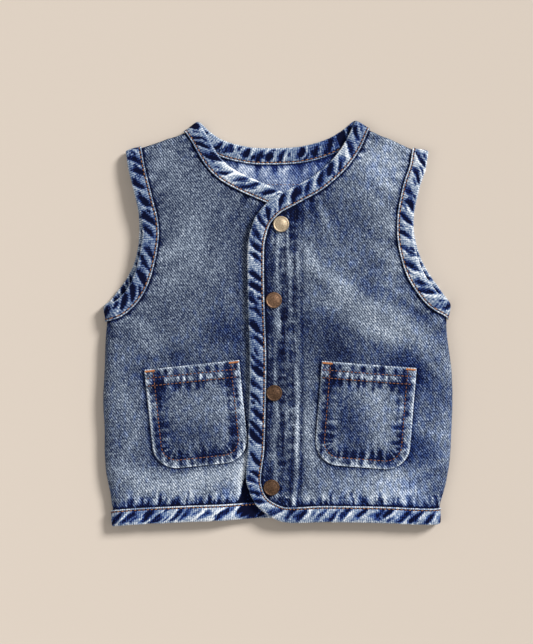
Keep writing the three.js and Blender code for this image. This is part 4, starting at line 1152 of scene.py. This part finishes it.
def binding(key, seed):
    """Closed folded strip round an edge of the cloth."""
    edge, face = EDGES[key], TAPE_FACE
    layer, half = edge.layer, len(face["share"])
    s = np.linspace(0, edge.length, int(edge.length / CELL_TAPE))[:, None]
    width = TAPE_WIDTH * edge.broad(s)
    shares = both_sides(face["share"])
    inset = shares * width
    sides = [tape_puckers(side_seed, s + 0 * inset, inset, width, TAPE_STYLE[key])
             for side_seed in (seed, seed + 50)]
    hollow, crest, shown = (np.concatenate([over[:, :half], under[:, half:]], axis=1)
                            for over, under in zip(*sides))
    sign = np.where(np.arange(2 * half - 1) < half, 1.0, -1.0)
    rise = TAPE_CLEAR + both_sides(face["rise"])
    out = np.where(sign > 0, rise, -CLOTH - rise) + 0 * inset
    rests = (sign > 0) & (layer["face"] < 0)
    out = np.where(rests, np.minimum(out, TAPE_CLEAR + TAPE), out)
    calm = smooth(0, TAPE_EDGE_CALM, np.minimum(s, edge.length - s))
    swell = TAPE_PUCKER_HIGH * shown * both_sides(face["pucker"]) * np.where(rests, 0.0, 1.0)
    out = out + sign * swell * calm
    inset = inset - 0.45 * shown * np.where(shares < RIM_SHARE, 1.0, 0.0) * calm
    skin = cloth_point(layer, *edge.at(s, np.maximum(inset, -0.5)), out)
    fold = np.full((len(s), 2), TAPE_INSIDE)
    lining = cloth_point(layer, *edge.at(s, fold), np.array([-CLOTH - TAPE_CLEAR, TAPE_CLEAR]))
    loop = np.concatenate([skin, lining], axis=1)
    rows, columns = loop.shape[:2]
    faces = grid_faces(rows, columns, wrap=True).tolist() + section_caps(columns, half, rows)
    wear_and_shade = tape_wear_and_shade(key, s, shares, hollow, crest, shown, skin)
    uv = np.stack([np.concatenate([inset, fold], axis=1), s + np.zeros((rows, columns))], axis=-1)
    return build_mesh(f"binding_{key}_cloth", loop, faces, ["tape"], uv,
                      np.concatenate([wear_and_shade, np.zeros((rows, 2))], axis=1))


# Rows of blotches on a pocket: wide in lanes, long and middle in mm across the row
HEM_BLOTS = {
    "above": {"wide": (0.14, 0.26), "long": (2.4, 3.8), "middle": (3.6, 5)},
    "between": {"wide": (0.12, 0.26), "long": (1.8, 3), "middle": (10.4, 11.6)},
    "pale": {"wide": (0.2, 0.36), "long": (2, 3), "middle": (10.4, 11.6)},
    "below": {"wide": (0.16, 0.36), "long": (2, 7),
              "middle": (POCKET_ROWS[1] + 1.2, POCKET_ROWS[1] + 3)}}
RIM_BLOTS = {
    "inside": {"wide": (0.2, 0.42), "long": (3, 8), "middle": (1.6, 3.5)},
    "pale": {"wide": (0.14, 0.3), "long": (2, 6), "middle": (2, 6)},
    "band": {"wide": (0.16, 0.34), "long": (1.6, 3), "middle": (3.4, 5.4)}}


def pocket_blots(seed, across, down, s, w, below):
    """Dark and pale blotches, 0 to 1, along the hem's rows and inside and outside the outline."""
    off = w - POCKET_INSET
    sway = 1.4 * noise(seed + 3, across / 17)
    dark = np.maximum.reduce([
        blobs(seed + 20, (across + sway) / 9, down, **HEM_BLOTS["above"]),
        0.8 * blobs(seed + 40, (across + sway) / 5.3 + 0.5, down, **HEM_BLOTS["between"]),
        blobs(seed + 50, (across - sway) / 7, down, **HEM_BLOTS["below"])]) * smooth(0, 4, w)
    inside = blobs(seed + 60, s / 7.5, off, **RIM_BLOTS["inside"])
    band = blobs(seed + 80, s / 8.2, w, **RIM_BLOTS["band"])
    dark = np.maximum.reduce([dark, below * inside * mix(0.35, 1.0, smooth(35, 60, down)),
                              0.75 * below * band])
    pale = np.maximum(blobs(seed + 30, (across - sway) / 5.3, down, **HEM_BLOTS["pale"]),
                      0.6 * below * blobs(seed + 70, s / 7.5 + 0.5, off, **RIM_BLOTS["pale"]))
    return dark, pale


# How high and how pale each part of a pocket is
POCKET_HIGH = {"wave": 0.55, "groove": -0.4, "rim": -0.4}
POCKET_WORN = {"wave": 0.2, "pale": 0.9, "dark": -1.35, "groove": -0.8, "rim": 0.75}
POCKET_WORN_AND_SHADED_MOST = 1.3


def pocket_relief(seed, pocket, across, down):
    """Height of a pocket, and its paleness from fading and from painted light and shade: puckered
    bands outside its stitch rows.
    """
    s, w = distance(across, down, pocket_outline(pocket))
    off = w - POCKET_INSET
    below = smooth(POCKET_HEM - 1, POCKET_HEM + 3, down)
    dark, pale = pocket_blots(seed, across, down, s, w, below)
    wave = 0.7 * puckers(seed, s, np.abs(off), 5.6, 7) + 0.6 * pale - 0.9 * dark
    hem_rows = np.maximum(*(bell(down - row, 0.8) for row in POCKET_ROWS))
    groove = np.maximum(bell(off, 0.9) * smooth(0, 6, down), hem_rows * smooth(0, 1.5, w))
    rim = bell(np.minimum(w, down), 1.2)
    high = weighed(POCKET_HIGH, wave=wave, groove=groove, rim=rim)
    worn_and_shaded = weighed(POCKET_WORN, wave=wave, pale=pale, dark=dark, groove=groove, rim=rim)
    worn_and_shaded += 0.9 * noise(seed + 90, across / 2, down / 30) * np.exp(-np.maximum(off, 0) / 9) * below
    # Dark at both ends of the turned hem
    worn_and_shaded -= 1.6 * bell(np.abs(across) - 31, 4.5) * bell(down - 13, 9)
    worn_and_shaded += 0.25 * (w < POCKET_INSET) + 0.2 * smooth(POCKET_HEM, POCKET_HEM - 2, down)
    worn_and_shaded -= 0.35 * bell(np.maximum(off - 1, 0), 6) * (off > 0) * below
    worn_and_shaded += round_patches(pocket["shade_and_wash"], across, down)
    return high, np.clip(worn_and_shaded, -POCKET_WORN_AND_SHADED_MOST, POCKET_WORN_AND_SHADED_MOST)


def pocket_thick(down):
    """Thickness of a pocket, more at its turned hem."""
    return CLOTH + POCKET_HEM_EXTRA * smooth(POCKET_HEM + 0.8, POCKET_HEM - 0.8, down)


def pocket_surface(layer, pocket, across, down, out):
    x, y = pocket_place(pocket, across, down)
    p, q = flattened(layer, x, y)
    half = pocket["width"] / 2
    swell = POCKET_PUFF * (1 - np.clip(np.abs(across) / half, 0, 1) ** 2) * np.sin(
        math.pi * mix(0.25, 1, np.clip(down / pocket["height"], 0, 1)))
    return cloth_point(layer, p, q, POCKET_CLEAR + swell + out)


def pocket(side_name, seed):
    layer, sizes = LAYERS[side_name], POCKETS[side_name]
    height, half = sizes["height"], sizes["width"] / 2
    foot = height - POCKET_CORNER
    straight = np.linspace(0, foot, int(foot / CELL_POCKET))
    arc = np.radians(np.linspace(0, 90, 30))[1:]
    down = np.concatenate([straight, foot + POCKET_CORNER * np.sin(arc)])[:, None]
    halves = np.concatenate([np.full(len(straight), half),
                             half - POCKET_CORNER * (1 - np.cos(arc))])
    across = np.linspace(-1, 1, int(2 * half / CELL_POCKET)) * halves[:, None]
    down = down + 0 * across
    high, worn_and_shaded = pocket_relief(seed, sizes, across, down)
    outer = pocket_surface(layer, sizes, across, down, pocket_thick(down) + high)
    inner = pocket_surface(layer, sizes, across, down, 0)
    turn = math.radians(sizes["turn"])
    uv = np.stack([across * math.cos(turn) + down * math.sin(turn),
                   across * math.sin(turn) - down * math.cos(turn)], axis=-1) + POCKET_UV_SHIFT
    return wall(f"pocket_{side_name}_cloth", outer, inner, uv, worn_and_shaded, ["pocket", "reverse"])


def unit(vectors):
    return vectors / np.linalg.norm(vectors, axis=-1, keepdims=True)


# Section of a stitch: how far along it, its girth and how far it bows out of the cloth
STITCH_RINGS = named("along girth bow", [
    [0, 0.35, -0.9], [0.25, 0.9, 0.1], [0.5, 1, 0.5], [0.75, 0.9, 0.1], [1, 0.35, -0.9]])
STITCH_SIDES = 6


def capsules(name, starts, ends, normals, thick, material, lift=0.1):
    """Many short threads in one mesh, each bowed a little out of the cloth."""
    rings, count = len(STITCH_RINGS["along"]), len(starts)
    side = unit(np.cross(unit(ends - starts), normals))
    points = []
    for share, girth, bow in zip(*STITCH_RINGS.values()):
        middle = mix(starts, ends, share) + normals * (bow * thick + lift)
        for k in range(STITCH_SIDES):
            angle = 2 * math.pi * k / STITCH_SIDES
            points.append(middle + girth * thick * (
                side * math.cos(angle) + normals * 0.8 * math.sin(angle)))
    size = rings * STITCH_SIDES
    first = np.arange(count) * size
    walls = (grid_faces(rings, STITCH_SIDES, wrap=True) + first[:, None, None]).reshape(-1, 4)
    foot = np.arange(STITCH_SIDES)[::-1] + first[:, None]
    head = np.arange(size - STITCH_SIDES, size) + first[:, None]
    ends_faces = np.stack([foot, head], axis=1).reshape(-1, STITCH_SIDES)
    return build_mesh(name, np.array(points).transpose(1, 0, 2),
                      walls.tolist() + ends_faces.tolist(), [material])


def stitch_row(name, surface, length, material, thick=STITCH_THICK, long=STITCH_LONG,
               gap=STITCH_GAP):
    """Running stitches along surface(run, out) from one end to the other."""
    runs = np.arange(STITCH_FROM, length - long - STITCH_FROM / 2, long + gap)
    middles = surface(runs + long / 2, 0.0)
    normals = unit(surface(runs + long / 2, 1.0) - middles)
    return capsules(name, surface(runs, 0.0), surface(runs + long, 0.0), normals, thick, material)


def tape_stitches(key, over=True):
    """Stitch row of a binding, on its face or on its other side."""
    edge = EDGES[key]
    rise = TAPE_CLEAR + (STITCH_SUNK if over and edge.layer["face"] < 0 else STITCH_HIGH)

    def surface(run, out):
        p, q = edge.at(run, TAPE_WIDTH * edge.broad(run) * STITCH_SHARE)
        return cloth_point(edge.layer, p, q, rise + out if over else -CLOTH - rise - out)

    side = "face" if over else "reverse"
    return stitch_row(f"stitches_{key}_{side}", surface, edge.length, "thread")


BAR_LONG, BAR_PITCH, BAR_THICK = 8.6, 0.62, 0.36
BAR_TOP, BAR_FOOT = 0.7, 2.5
POCKET_EDGE = 0.6  # from the pocket's edge to the first stitch


def pocket_stitches(side_name, seed):
    """Outline row, the hem's two rows and a bar tack at each top corner."""
    layer, sizes = LAYERS[side_name], POCKETS[side_name]
    name, half = f"stitches_pocket_{side_name}", sizes["width"] / 2
    across, down, run = pocket_outline(sizes, POCKET_INSET)

    def on_pocket(across, down, out):
        down = np.broadcast_to(down, np.shape(across))
        high, _ = pocket_relief(seed, sizes, across, down)
        return pocket_surface(layer, sizes, across, down, pocket_thick(down) + high + out)

    def outline(place, out):
        return on_pocket(np.interp(place, run, across),
                         np.interp(place, run, down) + POCKET_EDGE, out)

    made = [stitch_row(f"{name}_outline", outline, run[-1], "thread_pocket", *POCKET_STITCH)]
    for number, row in enumerate(POCKET_ROWS, 1):
        def hem_row(place, out, row=row):
            return on_pocket(place - half + POCKET_EDGE, row, out)

        made.append(stitch_row(f"{name}_hem_{number}", hem_row, sizes["width"] - 2 * POCKET_EDGE,
                               "thread_pocket", *POCKET_STITCH))
    for end, end_name in ((-1, "left"), (1, "right")):
        runs = np.arange(0, BAR_LONG, BAR_PITCH)
        place = end * (half - POCKET_EDGE - runs)
        tops = on_pocket(place, BAR_TOP, 0.3)
        feet = on_pocket(end * (half - POCKET_EDGE - runs - 0.5), BAR_FOOT, 0.3)
        normals = unit(on_pocket(place, 1.6, 1.25) - on_pocket(place, 1.6, 0.25))
        made.append(capsules(f"bartack_{side_name}_{end_name}", tops, feet, normals, BAR_THICK,
                             "thread_bright", lift=0.25))
    return made


PLACKET_TOP, PLACKET_LONG, PLACKET_THICK = 100.0, 256.0, 0.24


def placket_stitches():
    made = []
    for key in ("first", "second"):
        curve = along(PLACKET_ROWS, "y", key)

        def row(place, out, curve=curve):
            y = PLACKET_TOP - place
            p, q = flattened(LAYERS["right"], curve(y), y)
            high, _ = relief("right", p, q)
            return cloth_point(LAYERS["right"], p, q, high + out)

        made.append(stitch_row(f"stitches_placket_{key}", row, PLACKET_LONG, "thread_dark",
                               PLACKET_THICK))
    return made


NECK_ROW_Y, NECK_ROW_REACH, NECK_ROW_THICK = 122.2, 60.0, 0.2


def neck_stitches():
    """The faint row across the inside of the back, below its neck."""
    def row(place, out):
        p, q = place - NECK_ROW_REACH, np.full(np.shape(place), NECK_ROW_Y)
        high, _ = relief("back", p, q)
        return cloth_point(LAYERS["back"], p, q, -CLOTH - high - out)

    return stitch_row("stitches_back_inside", row, 2 * NECK_ROW_REACH, "thread", NECK_ROW_THICK)


# Half section of a snap cap, from its base round the rim to the crown
CAP_SECTION = named("r z", [
    [0, 0], [6.3, 0], [6.8, 0.2], [7.0, 0.7], [6.97, 1.3], [6.75, 1.75], [6.35, 1.95],
    [6, 1.8], [5.7, 1.62], [4.8, 1.85], [3.4, 2.2], [2, 2.45], [0.9, 2.58], [0, 2.62]])
CAP_SIDES = 64


def snap(number, x, y):
    """Snap cap turned square to the cloth under it."""
    p, q = flattened(LAYERS["right"], x, y)
    base = cloth_point(LAYERS["right"], p, q, SNAP_CLEAR)
    normal = cloth_point(LAYERS["right"], p, q, SNAP_CLEAR + 1) - base
    turn = Vector((0, 0, 1)).rotation_difference(Vector(normal)).to_matrix()
    angle = np.linspace(0, 2 * math.pi, CAP_SIDES, endpoint=False)
    r, z = CAP_SECTION["r"][1:-1, None], CAP_SECTION["z"][1:-1, None]
    ring = np.stack([r * np.cos(angle), r * np.sin(angle), z + 0 * angle], axis=-1)
    points = np.concatenate([ring.reshape(-1, 3), [[0, 0, 0], [0, 0, CAP_SECTION["z"][-1]]]])
    faces = grid_faces(len(r), CAP_SIDES, wrap=True).tolist()
    foot, top = len(points) - 2, len(points) - 1
    last = foot - CAP_SIDES
    for k in range(CAP_SIDES):
        after = (k + 1) % CAP_SIDES
        faces += [[foot, after, k], [top, last + k, last + after]]
    return build_mesh(f"snap_{number}_brass", points @ np.array(turn).T + base, faces,
                      [SNAP_BRASS[number - 1]])


def settle(thing, slot, *nodes):
    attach(thing, "root")
    if nodes:
        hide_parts(*nodes)
    return thing


def dress():
    """All the pieces, each in place of its CAD node."""
    panels = [
        (back(), "back_panel", ["floor"]),
        (front("left", "arm_left_front", -1), "left_front", ["back_cloth"]),
        (front("right", "arm_right_front", 1), "right_front", ["left_front_cloth", "back_cloth"])]
    for (cloth, places), node, under in panels:
        settle(cloth, "denim", node)
    for number, key in enumerate(TAPE_STYLE):
        tape = settle(binding(key, 201 + 20 * number), "denim_binding", f"binding_{key}")
        stitches = [settle(tape_stitches(key, over), "denim_binding") for over in (True, False)]
        side_name = "left" if "left" in key else "right"
        under = "floor" if EDGES[key].layer["face"] < 0 else f"{side_name}_front_cloth"
    for side_name, seed in (("left", 401), ("right", 461)):
        cloth = settle(pocket(side_name, seed), "denim_pocket", f"pocket_{side_name}")
        stitches = [settle(row, "denim_pocket") for row in pocket_stitches(side_name, seed)]
    for thing in [*placket_stitches(), neck_stitches()]:
        settle(thing, "denim")
    for number, (x, y) in enumerate(SNAPS, 1):
        settle(snap(number, x, y), "brass", f"snap_cap_{number}")


FLOOR_SIZE, FLOOR_DROP = 6, 0.1
FLOOR_COLOUR = (200, 188, 175)
WORLD_COLOUR, WORLD_STRENGTH = (1.0, 0.98, 0.96, 1), 0.4
SUN_PLACE, SUN_ENERGY, SUN_SPREAD = (1.25, 0.95, 1.15), 3.9, 18
FILL_PLACE, FILL_ENERGY, FILL_SIZE = (-1.4, -0.6, 1.8), 10, 1.6


def lamp(name, kind, place, energy):
    """Light that faces the middle of the vest."""
    light = bpy.data.lights.new(name, kind)
    light.energy = energy
    thing = bpy.data.objects.new(name, light)
    thing.location = place
    thing.rotation_euler = (-Vector(place)).to_track_quat("-Z", "Y").to_euler()
    bpy.context.collection.objects.link(thing)
    return light


def studio():
    """Plain pale floor, a soft key from the upper right and a weak fill."""
    bpy.ops.mesh.primitive_plane_add(size=FLOOR_SIZE, location=(0, 0, -FLOOR_DROP * MM))
    floor = bpy.context.object
    floor.name = "floor"
    material = bpy.data.materials.new("floor_pale")
    _, shader = shader_nodes(material)
    shader.inputs["Base Color"].default_value = (*srgb(*FLOOR_COLOUR), 1)
    shader.inputs["Roughness"].default_value = 0.95
    floor.data.materials.append(material)
    world = bpy.data.worlds.new("studio")
    bpy.context.scene.world = world
    world.use_nodes = True
    background = world.node_tree.nodes["Background"]
    background.inputs["Color"].default_value = WORLD_COLOUR
    background.inputs["Strength"].default_value = WORLD_STRENGTH
    lamp("key", "SUN", SUN_PLACE, SUN_ENERGY).angle = math.radians(SUN_SPREAD)
    fill = lamp("fill", "AREA", FILL_PLACE, FILL_ENERGY)
    fill.shape = "DISK"
    fill.size = FILL_SIZE


# What the photo takes in, in metres, seen straight down from this height
VIEW_MIDDLE = (-0.00997, 0.00140)
VIEW_TALL = 0.5635
VIEW_HEIGHT = 2.4
SENSOR = 36


def camera():
    """Straight down, framed as the photo is."""
    lens = bpy.data.cameras.new("camera")
    lens.sensor_fit = "VERTICAL"
    lens.sensor_height = SENSOR
    lens.lens = SENSOR * VIEW_HEIGHT / VIEW_TALL
    eye = bpy.data.objects.new("camera", lens)
    eye.location = (*VIEW_MIDDLE, VIEW_HEIGHT)
    bpy.context.collection.objects.link(eye)
    bpy.context.scene.camera = eye


dress()
studio()
camera()
bpy.context.scene.view_settings.view_transform = "Standard"
